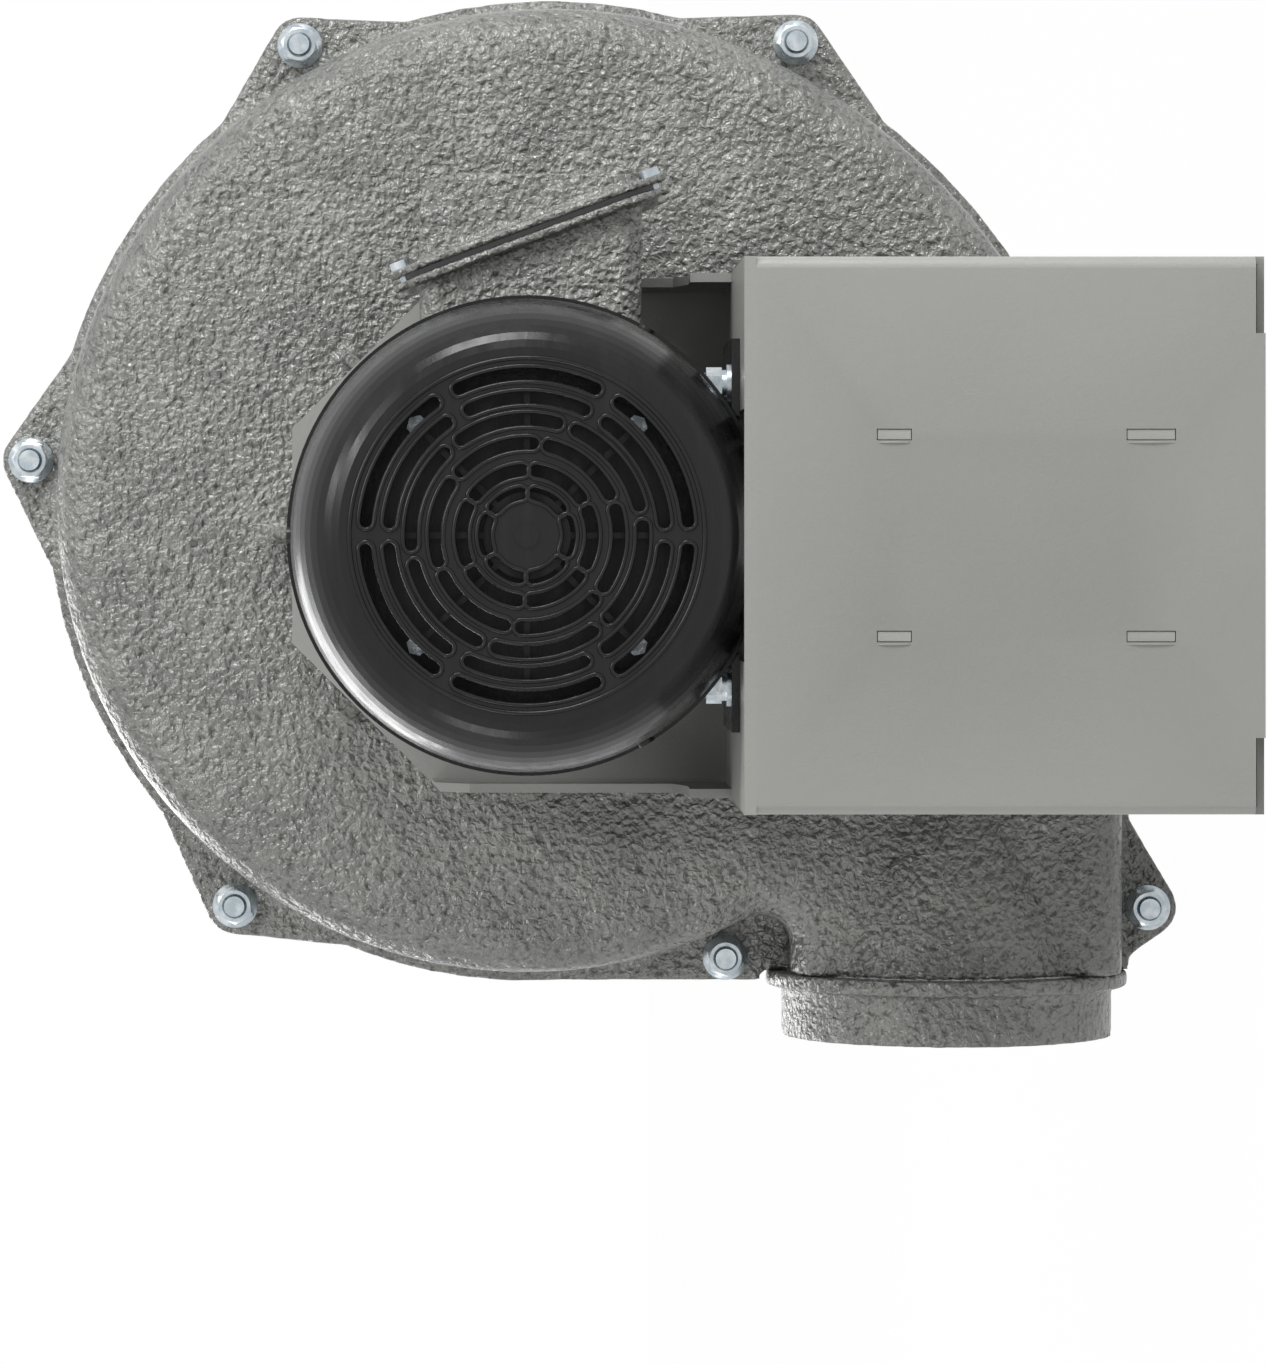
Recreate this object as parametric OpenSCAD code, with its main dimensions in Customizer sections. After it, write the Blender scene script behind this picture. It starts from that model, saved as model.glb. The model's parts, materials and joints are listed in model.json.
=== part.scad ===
// Spark-resistant pressure blower: cast scroll housing, direct-drive motor, sheet pedestal.
// Millimetres, +Z up, origin on the floor at the centre of the pedestal's fixing holes.
// The shaft runs along Y. The motor's fan cowl is at -Y and the air inlet is at +Y.

/* [Pedestal] */
// Height of the shaft above the floor
axis_z = 302; // [300:1:340]
// Width of the pedestal along X
ped_w = 228.6; // [222:1:250]
// Depth of the pedestal along Y, near face to support plate
ped_d = 222; // [220:1:226]
// Sheet thickness of the pedestal wrap
sheet_t = 3; // [2:0.5:4]
// Thickness of the top plate under the motor
top_t = 5; // [4:0.5:6]
// Thickness of the support plate
plate_t = 4; // [3:0.5:5]
// Outside radius of the sheet bends
bend_r = 5; // [4:0.5:8]
// Width of the turned-in floor flanges
foot_flange_w = 34; // [28:1:40]
// Distance of the floor fixing holes from the pedestal's sides
base_hole_inset = 19.3; // [15:0.1:22]
// Distance between the floor fixing holes along Y
base_hole_y = 160; // [120:1:180]
// Radius of the floor fixing holes
base_hole_r = 5.5; // [4:0.5:7]
// Width of the tongue at the foot of the near panel
tongue_w = 165.6; // [120:1:175]
// Thickness of the inner stiffening webs
web_t = 4; // [3:0.5:5]
// Distance between the stiffening webs
web_gap = 82.6; // [76:1:90]
// Height above the floor of the lower web tabs
low_tab_z = 37; // [20:1:60]
// Length of the lower web tabs
low_tab_len = 19.5; // [8:0.5:24]
// Height above the floor of the upper web tabs
high_tab_z = 145; // [120:1:160]
// Length of the upper web tabs
high_tab_len = 13.6; // [8:0.2:24]

/* [Support plate] */
// Height of the plate's top edge above the shaft
plate_rise = 105; // [100:1:110]
// Leg of the plate's two top chamfers
plate_chamfer = 66.3; // [50:1:70]
// Depth of the plate's narrow side flanges
lip_d = 17; // [10:1:24]
// Height of the narrow side flanges above the shaft
lip_rise = 25.5; // [10:1:30]
// Depth of the low foot flanges that stand on the top plate
foot_lip_d = 70; // [50:1:72]
// Height of the low foot flanges
foot_lip_h = 18; // [12:1:24]
// Radius of the plate's shaft hole
plate_hole_r = 33; // [30:0.5:36]

/* [Housing] */
// Half of the housing's width along the shaft
half_w = 55; // [52:1:60]
// Casting wall thickness
wall = 6; // [4:0.5:8]
// Thickness of each half's bolting flange
flange_t = 8; // [6:0.5:9]
// Width of the flange outside the scroll wall
flange_w = 6; // [4:0.5:8]
// Rounding of the scroll's edge
edge_r = 20; // [14:1:24]
// Radius of the scroll's first arc, measured at the flange
scroll_r = 221.5; // [219:0.5:224]
// Offset of the first arc's centre from the shaft
scroll_shift = 15.4; // [12:0.2:18]
// Radius growth from the first arc to the second
grow_b = 10.5; // [8:0.5:12]
// Radius growth from the second arc to the third
grow_c = 44; // [40:1:48]
// Radius growth from the third arc to the fourth
grow_d = 52; // [48:1:56]
// Radius of the round neck behind the motor
neck_r = 95; // [92:0.5:98]
// Length of the neck between the scroll and the support plate
neck_h = 37; // [36:0.5:40]
// Wall of the neck
neck_wall = 8; // [6:0.5:10]
// Reach of the gussets beyond the neck
gusset_reach = 22; // [14:1:26]
// Thickness of the gussets
gusset_t = 6; // [4:0.5:8]
// Thickness of the joint gasket
gasket_t = 1; // [0.5:0.1:1.5]

/* [Ears] */
// Radius of the ear tips
ear_r = 13.5; // [12.5:0.5:14.5]
// Distance of the ear bolts outside the scroll's flange edge
ear_reach = 8.5; // [7:0.5:9]
// Radius of the housing bolts
bolt_r = 4.7; // [4:0.1:5]
// Radius of the nuts' own flanges
nut_flange_r = 10.4; // [9.5:0.1:11]
// Width across flats of the housing nuts
nut_af = 15; // [13:0.5:16]
// Height of the housing nuts
nut_h = 8; // [6:0.5:9]

/* [Duct collars] */
// Outside radius of the two duct collars
collar_r = 76.2; // [74:0.2:77]
// Wall of the duct collars
collar_wall = 3.2; // [2.4:0.2:4]
// Radius of the collars' flanges
collar_flange_r = 83.5; // [82:0.5:84]
// Thickness of the collars' flanges
collar_flange_t = 7; // [5:0.5:8]
// Length of the outlet collar outside its flange
outlet_len = 23; // [18:1:40]
// Length of the inlet collar outside its flange
inlet_len = 42; // [30:1:60]
// Distance of the outlet's face inside the scroll's far edge
outlet_inset = 5.1; // [4:0.1:5.4]
// Distance of the outlet's centre below the shaft
outlet_drop = 194.3; // [192:0.5:196]
// Length of the cone that widens the duct to the collar
cone_len = 96; // [80:1:100]

/* [Wheel] */
// Radius of the wheel
wheel_r = 152; // [148:1:156]
// Radius of the wheel's inlet eye
eye_r = 70; // [66:1:72]
// Thickness of the wheel's back plate
back_t = 3; // [2:0.5:4]
// Thickness of the blades
blade_t = 2.5; // [2:0.5:4]
// Number of blades
blades = 12; // [8:1:16]
// Blade width at the eye
blade_w_eye = 52; // [46:1:54]
// Blade width at the tip
blade_w_tip = 38; // [34:1:42]
// Radius of the hub
hub_r = 25; // [22:0.5:26]
// Radius of the hub's flange
hub_flange_r = 46; // [42:1:50]

/* [Motor] */
// Height of the shaft above the motor's feet
foot_drop = 88.9; // [88.9:0.1:90]
// Radius of the shaft's output end
shaft_r = 7.9375; // [7:0.0005:8]
// Length of the shaft's output end beyond its shoulder
shaft_out = 47.8; // [46:0.2:49]
// Gap from the support plate to the shaft's shoulder
shoulder_gap = 15; // [12:0.5:17]
// Gap between the frame's fins and the face that the motor stands on
frame_clear = 6.9; // [6:0.1:7.9]
// Height of the frame's fins
fin_h = 7; // [5:0.5:8]
// Number of frame fins
fins = 36; // [24:2:48]
// Length of the motor frame
frame_len = 104; // [102:1:108]
// Length of the front end bell
front_bell_len = 34; // [30:1:36]
// Length of the rear end bell
rear_bell_len = 17; // [15:1:19]
// Distance between the foot bolts across the motor
foot_bolt_x = 126; // [122:1:130]
// Distance between the foot bolts along the motor
foot_bolt_y = 76.2; // [74:0.2:78]
// Distance of the front foot bolts behind the shaft's shoulder
foot_setback = 69.8; // [68:0.2:72]
// Outside width of the feet
foot_w = 164.4; // [160:0.2:168]
// Thickness of the feet
foot_t = 3.5; // [3:0.1:4]
// Radius of the foot bolts
foot_bolt_r = 4; // [3.5:0.1:4.2]

/* [Fan cowl] */
// Radius of the cowl's wall
cowl_r = 98.6; // [97:0.2:99]
// Radius of the cowl's open rim
rim_r = 100.3; // [99.5:0.1:101]
// Radius of the cowl's flat face
face_r = 73.8; // [72:0.2:76]
// Length of the cowl
cowl_len = 56; // [55:0.5:57]
// Length of the cowl's rounded shoulder
shoulder_len = 48; // [46:0.5:49]
// Wall of the cowl
cowl_wall = 2.2; // [1.8:0.2:2.6]
// Width of the grille slots
slot_w = 5.6; // [4.5:0.1:6]
// Height of the raised rim round each slot
slot_rim_h = 0.8; // [0.4:0.1:1.2]
// Width of the raised rim round each slot
slot_rim_w = 1.1; // [0.8:0.1:1.4]

/* [Conduit box] */
// Width of the box along Y
box_y = 96; // [90:1:98]
// Height of the box's side that stands higher
box_high = 146; // [144:1:148]
// Height of the box's side that stands lower
box_low = 111; // [110:1:113]
// Distance from the shaft level to the box's upper side
box_up = 46; // [44:0.5:48]
// Distance from the shaft level to the box's lower side
box_down = 49; // [47:0.5:50]
// Radius of the box's upright corners
box_corner_r = 10; // [8:1:14]
// Wall of the box
box_wall = 4.5; // [3.5:0.5:5]
// Thickness of the box's and the lid's flanges
box_flange_t = 3.5; // [3:0.5:4]
// Projection of the two flanges beyond the walls
box_flange_w = 7; // [6:0.5:8]
// Thickness of the lid gasket
lid_gasket_t = 2.2; // [1.5:0.1:2.5]
// Height of the lid's flat top above the box's higher side
lid_rise = 8.5; // [7:0.5:12]
// Distance of the box behind the frame's front end
box_setback = 71; // [69:0.5:72]
// Radius of the conduit entry
conduit_r = 8; // [6:0.5:8.2]

/* [Hidden] */
$fn = 72;

// Overrun for cuts and the clearances shared by several pieces
cut = 1;
gap = 0.3;
fit_gap = 0.05;
hole_gap = 0.35;

// Places along Y
near_y = -ped_d / 2;
plate_y = ped_d / 2;
plate_back_y = plate_y + plate_t;
split_y = plate_back_y + neck_h + half_w;
shoulder_y = plate_y - shoulder_gap;
shaft_end_y = shoulder_y + shaft_out;
frame_front_y = shoulder_y - front_bell_len;
frame_back_y = frame_front_y - frame_len;
cowl_rim_y = frame_back_y - rear_bell_len;
cowl_face_y = cowl_rim_y - cowl_len;
foot_front_y = shoulder_y - foot_setback;
foot_back_y = foot_front_y - foot_bolt_y;
outlet_x = scroll_r - scroll_shift - outlet_inset;
frame_r = foot_drop - frame_clear;
base_hole_x = ped_w - 2 * base_hole_inset;
tab_zs = [low_tab_z, high_tab_z];
tab_lengths = [low_tab_len, high_tab_len];

// Heights
top_z = axis_z - foot_drop;
deck_z = top_z - top_t;
half_ped_w = ped_w / 2;

// Colours
cast_grey = [0.60, 0.60, 0.58];
sheet_grey = [0.56, 0.56, 0.54];
gloss_black = [0.05, 0.05, 0.055];
zinc = [0.74, 0.76, 0.78];
bare_alu = [0.78, 0.78, 0.77];

// Scroll outline in the plane of the housing joint: x is X, y is height above the shaft.
// It grows through four tangent arcs and then runs straight to the outlet.
start_turn = 205;
turn_b = 90;
turn_c = -20;
turn_d = -60;
end_turn = -90;
function dir(a) = [cos(a), sin(a)];
function next_centre(c, grow, a) = c - grow * dir(a);
centre_a = [scroll_shift, 0];
centre_b = next_centre(centre_a, grow_b, turn_b);
centre_c = next_centre(centre_b, grow_c, turn_c);
centre_d = next_centre(centre_c, grow_d, turn_d);
centres = [centre_a, centre_b, centre_c, centre_d];
radii = [scroll_r, scroll_r + grow_b, scroll_r + grow_b + grow_c, scroll_r + grow_b + grow_c + grow_d];
turns = [turn_b, turn_c, turn_d, end_turn];
low_edge = radii[3] - centre_d.y;
duct_inner_y = 121;
swirl_r = wheel_r + 13;

// Frames: local z points towards -Y, local x is X and local y is height above the shaft
module at_y(y) {
    translate([0, y, axis_z]) rotate([90, 0, 0]) children();
}

module hex_prism(af, h) {
    cylinder(r = af / sqrt(3), h = h, $fn = 6);
}

module tube(r_out, r_in, h) {
    difference() {
        cylinder(r = r_out, h = h);
        translate([0, 0, -cut]) cylinder(r = r_in, h = h + 2 * cut);
    }
}

// A block standing on z = 0, given by two opposite corners
module block(a, b, h) {
    translate([min(a.x, b.x), min(a.y, b.y), 0]) cube([abs(b.x - a.x), abs(b.y - a.y), h]);
}

// Scroll body: the outline shrinks by d towards the face, so its edge is rounded
arc_step = 5;
round_steps = 4;
notch_r = 14;
notch_centre = [
    centre_a.x - sqrt(pow(scroll_r - flange_w + notch_r, 2) - pow(duct_inner_y - notch_r, 2)),
    -duct_inner_y + notch_r
];
notch_turn = atan2(centre_a.y - notch_centre.y, centre_a.x - notch_centre.x);
function arc_points(c, r, a0, a1) =
    let (n = ceil(abs(a1 - a0) / arc_step))
    [for (i = [0:n]) c + r * dir(a0 + (a1 - a0) * i / n)];
function tail(list) = [for (i = [1:len(list) - 1]) list[i]];
function body_ring(d) = concat(
    [[-outlet_x, -low_edge + flange_w + d]],
    arc_points(centre_d, radii[3] - flange_w - d, end_turn, turn_d),
    tail(arc_points(centre_c, radii[2] - flange_w - d, turn_d, turn_c)),
    tail(arc_points(centre_b, radii[1] - flange_w - d, turn_c, turn_b)),
    tail(arc_points(centre_a, radii[0] - flange_w - d, turn_b, notch_turn + 180)),
    tail(arc_points(notch_centre, notch_r + d, notch_turn, end_turn)),
    [[-outlet_x, -duct_inner_y - d]]
);

// Each cap is given as convex faces: the scroll, a fan round the recess, and the duct
fan_point = 1 + ceil((turn_d - end_turn) / arc_step / 2);
notch_points = ceil((notch_turn - end_turn) / arc_step);
function cap_faces(n) =
    let (v = n - 2 - notch_points)
    concat(
        [[for (i = [fan_point:v]) i]],
        [for (i = [v:n - 3]) [fan_point, i, i + 1]],
        [concat([fan_point, n - 2, n - 1], [for (i = [0:fan_point - 1]) i])]
    );
function turned_over(face, shift) = [for (i = [len(face) - 1:-1:0]) face[i] + shift];

module scroll_body(h) {
    insets = concat([0], [for (i = [0:round_steps]) edge_r * (1 - cos(90 * i / round_steps))]);
    heights = concat([0], [for (i = [0:round_steps]) h - edge_r + edge_r * sin(90 * i / round_steps)]);
    rings = len(insets);
    n = len(body_ring(0));
    polyhedron(
        points = [for (k = [0:rings - 1], p = body_ring(insets[k])) [p.x, p.y, heights[k]]],
        faces = concat(
            cap_faces(n),
            [for (face = cap_faces(n)) turned_over(face, (rings - 1) * n)],
            [for (k = [0:rings - 2], i = [0:n - 1])
                [k * n + i, (k + 1) * n + i, (k + 1) * n + (i + 1) % n, k * n + (i + 1) % n]]
        )
    );
}

// Half of a bell along X, wide at the outlet, resting on the joint plane
bell_steps = 20;
module outlet_bell(r_face, r_root, over) {
    xs = [-outlet_x - over, -outlet_x + cone_len];
    rs = [r_face, r_root];
    n = bell_steps + 1;
    polyhedron(
        points = [for (k = [0, 1], i = [0:bell_steps])
            [xs[k], -outlet_drop - rs[k] * cos(180 * i / bell_steps), rs[k] * sin(180 * i / bell_steps)]],
        faces = concat(
            [[for (i = [n - 1:-1:0]) i], [for (i = [0:n - 1]) n + i], [0, n, 2 * n - 1, n - 1]],
            [for (i = [0:n - 2]) [i, i + 1, n + i + 1, n + i]]
        )
    );
}

// Outside of the bell: a round swelling on the flat face, growing from a point to the collar
swell_stations = 4;
swell_steps = 10;
swell_seat = 1;
module outlet_swell() {
    base = half_h - swell_seat;
    function station_r(k) = collar_r - gap - (collar_r - gap - base) * k / swell_stations;
    function spread(k) = acos(base / station_r(k));
    n = swell_steps + 1;
    m = swell_stations;
    polyhedron(
        points = concat(
            [for (k = [0:m - 1], i = [0:swell_steps])
                let (a = spread(k) * (2 * i / swell_steps - 1))
                [-outlet_x + cone_len * k / m, -outlet_drop + station_r(k) * sin(a), station_r(k) * cos(a)]],
            [[-outlet_x + cone_len, -outlet_drop, base]]
        ),
        faces = concat(
            [[for (i = [n - 1:-1:0]) i]],
            [concat([for (k = [0:m - 1]) k * n], [m * n], [for (k = [m - 1:-1:0]) k * n + n - 1])],
            [for (k = [0:m - 2], i = [0:n - 2]) [k * n + i, k * n + i + 1, (k + 1) * n + i + 1, (k + 1) * n + i]],
            [for (i = [0:n - 2]) [(m - 1) * n + i, (m - 1) * n + i + 1, m * n]]
        )
    );
}

// Bolting ears: which arc each stands on, its direction and the half-angle of its root
ear_arcs = [1, 2, 1, 0, 3];
ear_turns = [28.7, -26.9, 85.4, 144.1, -73.6];
ear_spreads = [12, 11, 12.5, 13.7, 9];
web_bolt_inset = 6;
web_bolt_drop = 91.6;
duct_bolt_inset = 29;
web_bolt = [-(outlet_x - web_bolt_inset), -web_bolt_drop];
duct_bolt = [-(outlet_x - duct_bolt_inset), -(low_edge + ear_reach)];
duct_ear_up = 41;
duct_ear_down = 22.4;
function on_arc(i, a, extra) = centres[i] + (radii[i] + extra) * dir(a);
function ear_bolt(i) = on_arc(ear_arcs[i], ear_turns[i], ear_reach);
bolts = concat([for (i = [0:4]) ear_bolt(i)], [web_bolt, duct_bolt]);
function spin(u, a) = [u.x * cos(a) - u.y * sin(a), u.x * sin(a) + u.y * cos(a)];
function touch(p, c, side) =
    let (u = (p - c) / norm(p - c))
    c + ear_r * spin(u, side * acos(ear_r / norm(p - c)));

// One ear as a single outline: two tangents from the scroll's edge and a round tip
function ear_outline(c, p, q) =
    let (
        side = sign(cross(p - c, q - c)),
        t0 = touch(p, c, -side) - c,
        t1 = touch(q, c, side) - c,
        a0 = atan2(t0.y, t0.x),
        a1 = atan2(t1.y, t1.x),
        sweep = -side * ((-side * (a1 - a0) % 360 + 360) % 360),
        root = (p + q) / 2 * root_share
    )
    concat([root, p], [for (i = [0:ear_steps]) c + ear_r * dir(a0 + sweep * i / ear_steps)], [q]);
ear_steps = 14;
root_share = 0.93;

module ears(h) {
    for (i = [0:4])
        linear_extrude(h)
            polygon(ear_outline(ear_bolt(i),
                on_arc(ear_arcs[i], ear_turns[i] + ear_spreads[i], 0),
                on_arc(ear_arcs[i], ear_turns[i] - ear_spreads[i], 0)));
    linear_extrude(h)
        polygon(ear_outline(duct_bolt,
            [duct_bolt.x - duct_ear_down, -low_edge],
            [duct_bolt.x + duct_ear_up, -low_edge]));
}

web_lip = 4.5;
web_clear = 3;

// The flat web between the scroll and the duct, beside the outlet collar
module web_plate(h) {
    web_low = outlet_drop - collar_flange_r - web_clear;
    linear_extrude(h)
        polygon([
            [-outlet_x - web_lip, -web_low], [-outlet_x, -web_low],
            [-outlet_x, -duct_inner_y - flange_w], [-outlet_x + 2 * duct_ear_up, -duct_inner_y - flange_w],
            [-outlet_x + 2 * duct_ear_up, -web_lip], [-outlet_x - web_lip, -web_lip]
        ]);
}

module flange_plate(h) {
    linear_extrude(h) polygon(body_ring(-flange_w));
    ears(h);
    web_plate(h);
}

// Inside of the scroll: the arcs, the tongue round the wheel, and the duct
function cavity_ring(d) =
    let (
        r_in = swirl_r - d,
        side_y = duct_inner_y + wall + d,
        tongue_turn = 180 + asin(side_y / r_in)
    )
    concat(
        [[-outlet_x - cut, -low_edge + flange_w + wall + d]],
        arc_points(centre_d, radii[3] - flange_w - wall - d, end_turn, turn_d),
        tail(arc_points(centre_c, radii[2] - flange_w - wall - d, turn_d, turn_c)),
        tail(arc_points(centre_b, radii[1] - flange_w - wall - d, turn_c, turn_b)),
        tail(arc_points(centre_a, radii[0] - flange_w - wall - d, turn_b, start_turn)),
        arc_points([0, 0], r_in, start_turn, tongue_turn),
        [[-outlet_x - cut, -side_y]]
    );

// The cavity narrows in one step behind the rounded edge
cavity_step_share = 0.8;
module cavity(depth) {
    step = edge_r / 2;
    translate([0, 0, -cut]) linear_extrude(depth - step + cut) polygon(cavity_ring(0));
    translate([0, 0, -cut]) linear_extrude(depth + cut) polygon(cavity_ring(step * cavity_step_share));
}

bell_r_in = collar_r - collar_wall - collar_flange_t;
cone_dip = 3;

module bolt_holes(h) {
    for (b = bolts)
        translate([b.x, b.y, -cut]) cylinder(r = bolt_r + hole_gap, h = h + 2 * cut);
}

module housing_half() {
    difference() {
        union() {
            difference() {
                union() {
                    scroll_body(half_h);
                    flange_plate(flange_t);
                }
                cavity(half_h - wall);
            }
            outlet_swell();
        }
        outlet_bell(bell_r_in, half_h - cone_dip - wall, cut);
        bolt_holes(flange_t);
    }
}

half_h = half_w - gasket_t / 2;
seal_bore_r = hub_r + 5;
plate_bolt_turns = [45, 135, 225, 315];
plate_bolt_circle_r = 68;
plate_bolt_r = 5;

module housing_drive_half() {
    color(cast_grey) at_y(split_y - gasket_t / 2) {
        difference() {
            union() {
                housing_half();
                translate([0, 0, half_h - wall / 2]) cylinder(r = neck_r, h = neck_h + wall / 2);
                gussets();
            }
            translate([0, 0, -cut]) cylinder(r = seal_bore_r, h = half_w + neck_h);
            translate([0, 0, half_h]) cylinder(r = neck_r - neck_wall, h = neck_h - neck_wall);
            translate([0, 0, half_h]) cylinder(r = plate_hole_r - cut, h = neck_h + cut);
            for (a = plate_bolt_turns)
                rotate([0, 0, a]) translate([plate_bolt_circle_r, 0, half_h + neck_h - neck_wall - cut])
                    cylinder(r = plate_bolt_r + fit_gap, h = neck_wall + 2 * cut);
        }
    }
}

gusset_seat = 2;

module gussets() {
    for (a = [0:45:315])
        rotate([0, 0, a])
            translate([neck_r - gusset_seat, gusset_t / 2, half_h - wall / 2])
                rotate([90, 0, 0])
                    linear_extrude(gusset_t)
                        polygon([
                            [0, 0], [gusset_reach + gusset_seat, 0],
                            [gusset_reach + gusset_seat, wall], [0, neck_h]
                        ]);
}

inlet_screw_circle_r = 96;
inlet_screw_r = 3;
inlet_pad_r = 106;
inlet_pad_t = 4;
inlet_screws_n = 6;

module housing_inlet_half() {
    color(cast_grey)
        translate([0, split_y + gasket_t / 2, axis_z]) rotate([90, 0, 0]) mirror([0, 0, 1])
            difference() {
                union() {
                    housing_half();
                    translate([0, 0, half_h - wall / 2])
                        cylinder(r = inlet_pad_r, h = inlet_pad_t + wall / 2);
                }
                translate([0, 0, -cut]) cylinder(r = collar_r - collar_wall, h = half_w + inlet_pad_t + 2 * cut);
                at_inlet_screws() translate([0, 0, half_h - wall - cut])
                    cylinder(r = inlet_screw_r + fit_gap, h = wall + inlet_pad_t + 2 * cut);
            }
}

module at_inlet_screws() {
    for (i = [0:inlet_screws_n - 1])
        rotate([0, 0, i * 360 / inlet_screws_n]) translate([inlet_screw_circle_r, 0, 0]) children();
}

module housing_gasket() {
    color([0.12, 0.12, 0.12]) at_y(split_y + gasket_t / 2)
        difference() {
            flange_plate(gasket_t);
            translate([0, 0, -cut]) linear_extrude(gasket_t + 2 * cut) polygon(cavity_ring(0));
            bolt_holes(gasket_t);
        }
}

module outlet_collar() {
    color(cast_grey)
        translate([-outlet_x, split_y, axis_z - outlet_drop]) rotate([0, -90, 0])
            difference() {
                union() {
                    cylinder(r = collar_flange_r, h = collar_flange_t);
                    cylinder(r = collar_r, h = collar_flange_t + outlet_len);
                }
                translate([0, 0, -cut])
                    cylinder(r = collar_r - collar_wall, h = collar_flange_t + outlet_len + 2 * cut);
            }
}

inlet_face_y = split_y + half_w + inlet_pad_t;

module inlet_collar() {
    color(cast_grey)
        translate([0, inlet_face_y, axis_z]) rotate([-90, 0, 0])
            difference() {
                union() {
                    cylinder(r = inlet_pad_r - cut, h = collar_flange_t);
                    cylinder(r = collar_r, h = collar_flange_t + inlet_len);
                }
                translate([0, 0, -cut])
                    cylinder(r = collar_r - collar_wall, h = collar_flange_t + inlet_len + 2 * cut);
                at_inlet_screws() translate([0, 0, -cut])
                    cylinder(r = inlet_screw_r + hole_gap, h = collar_flange_t + 2 * cut);
            }
}

inlet_screw_depth = 8;
inlet_head_af = 10;
inlet_head_h = 4;

module inlet_screws() {
    color(zinc)
        translate([0, inlet_face_y, axis_z]) rotate([-90, 0, 0])
            at_inlet_screws() {
                translate([0, 0, -inlet_screw_depth])
                    cylinder(r = inlet_screw_r, h = inlet_screw_depth + collar_flange_t + cut);
                translate([0, 0, collar_flange_t]) hex_prism(inlet_head_af, inlet_head_h);
            }
}

// Wheel places, measured along Y
back_gap = 7;
cone_reach = 3;
back_y = split_y - half_h + wall + back_gap;
eye_y = back_y + back_t + blade_w_eye;
cone_t = 2;
cone_gap = 3;

module inlet_cone() {
    color(bare_alu)
        translate([0, inlet_face_y, axis_z]) rotate([-90, 0, 0])
            rotate_extrude()
                polygon([
                    [collar_r - collar_wall - gap - cone_t, 0],
                    [collar_r - collar_wall - gap, 0],
                    [collar_r - collar_wall - gap, -wall - inlet_pad_t],
                    [eye_r - cone_gap, -(inlet_face_y - eye_y) - cone_reach],
                    [eye_r - cone_gap - cone_t, -(inlet_face_y - eye_y) - cone_reach],
                    [collar_r - collar_wall - gap - cone_t, -wall - inlet_pad_t]
                ]);
}

bolt_head_af = 14.3;
bolt_head_h = 6.2;
bolt_tail = 3.5;
washer_t = 1.6;

module housing_bolts() {
    grip = 2 * flange_t + gasket_t;
    color(zinc)
        for (b = bolts)
            translate([b.x, split_y, axis_z + b.y]) rotate([90, 0, 0]) {
                translate([0, 0, -grip / 2 - washer_t])
                    cylinder(r = bolt_r, h = grip + washer_t + nut_h + bolt_tail);
                translate([0, 0, -grip / 2 - washer_t - bolt_head_h]) hex_prism(bolt_head_af, bolt_head_h);
                translate([0, 0, -grip / 2 - washer_t]) cylinder(r = nut_flange_r, h = washer_t);
            }
}

nut_cone_share = 0.33;

module flange_nut(af, flange_r, h, bore) {
    difference() {
        union() {
            hex_prism(af, h);
            cylinder(r1 = flange_r, r2 = af / 2, h = h * nut_cone_share);
        }
        translate([0, 0, -cut]) cylinder(r = bore, h = h + 2 * cut);
    }
}

module housing_nuts() {
    color(zinc)
        for (b = bolts)
            translate([b.x, split_y - flange_t - gasket_t / 2, axis_z + b.y]) rotate([90, 0, 0])
                flange_nut(nut_af, nut_flange_r, nut_h, bolt_r + fit_gap);
}

// Support plate: one sheet from the floor to above the shaft, with forward side flanges
module channel_profile(depth, t, r) {
    difference() {
        union() {
            translate([-half_ped_w + r, 0]) square([ped_w - 2 * r, t]);
            translate([-half_ped_w, -depth]) square([t, depth + t - r]);
            translate([half_ped_w - t, -depth]) square([t, depth + t - r]);
            for (s = [-1, 1])
                translate([s * (half_ped_w - r), t - r]) circle(r = r);
        }
        translate([-half_ped_w + t, -depth]) square([ped_w - 2 * t, depth - r + t]);
        translate([-half_ped_w + r, -r + t - cut]) square([ped_w - 2 * r, r - t + cut]);
        for (s = [-1, 1])
            translate([s * (half_ped_w - r), t - r]) circle(r = r - t);
    }
}

module plate_outline() {
    w = half_ped_w;
    top = axis_z + plate_rise;
    polygon([
        [-w, 0], [w, 0], [w, top - plate_chamfer], [w - plate_chamfer, top],
        [-w + plate_chamfer, top], [-w, top - plate_chamfer]
    ]);
}

lip_step = 6;
lip_slope_share = 0.6;

module plate_side_outline() {
    lip_y = plate_y - lip_d;
    polygon([
        [plate_back_y + cut, 0], [plate_back_y + cut, axis_z + plate_rise + cut],
        [plate_y, axis_z + plate_rise + cut], [plate_y, axis_z + lip_rise + lip_d],
        [lip_y, axis_z + lip_rise], [lip_y, top_z + foot_lip_h + lip_step],
        [plate_y - foot_lip_d * lip_slope_share, top_z + foot_lip_h],
        [plate_y - foot_lip_d, top_z + foot_lip_h], [plate_y - foot_lip_d, top_z],
        [plate_y, top_z], [plate_y, 0]
    ]);
}

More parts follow.
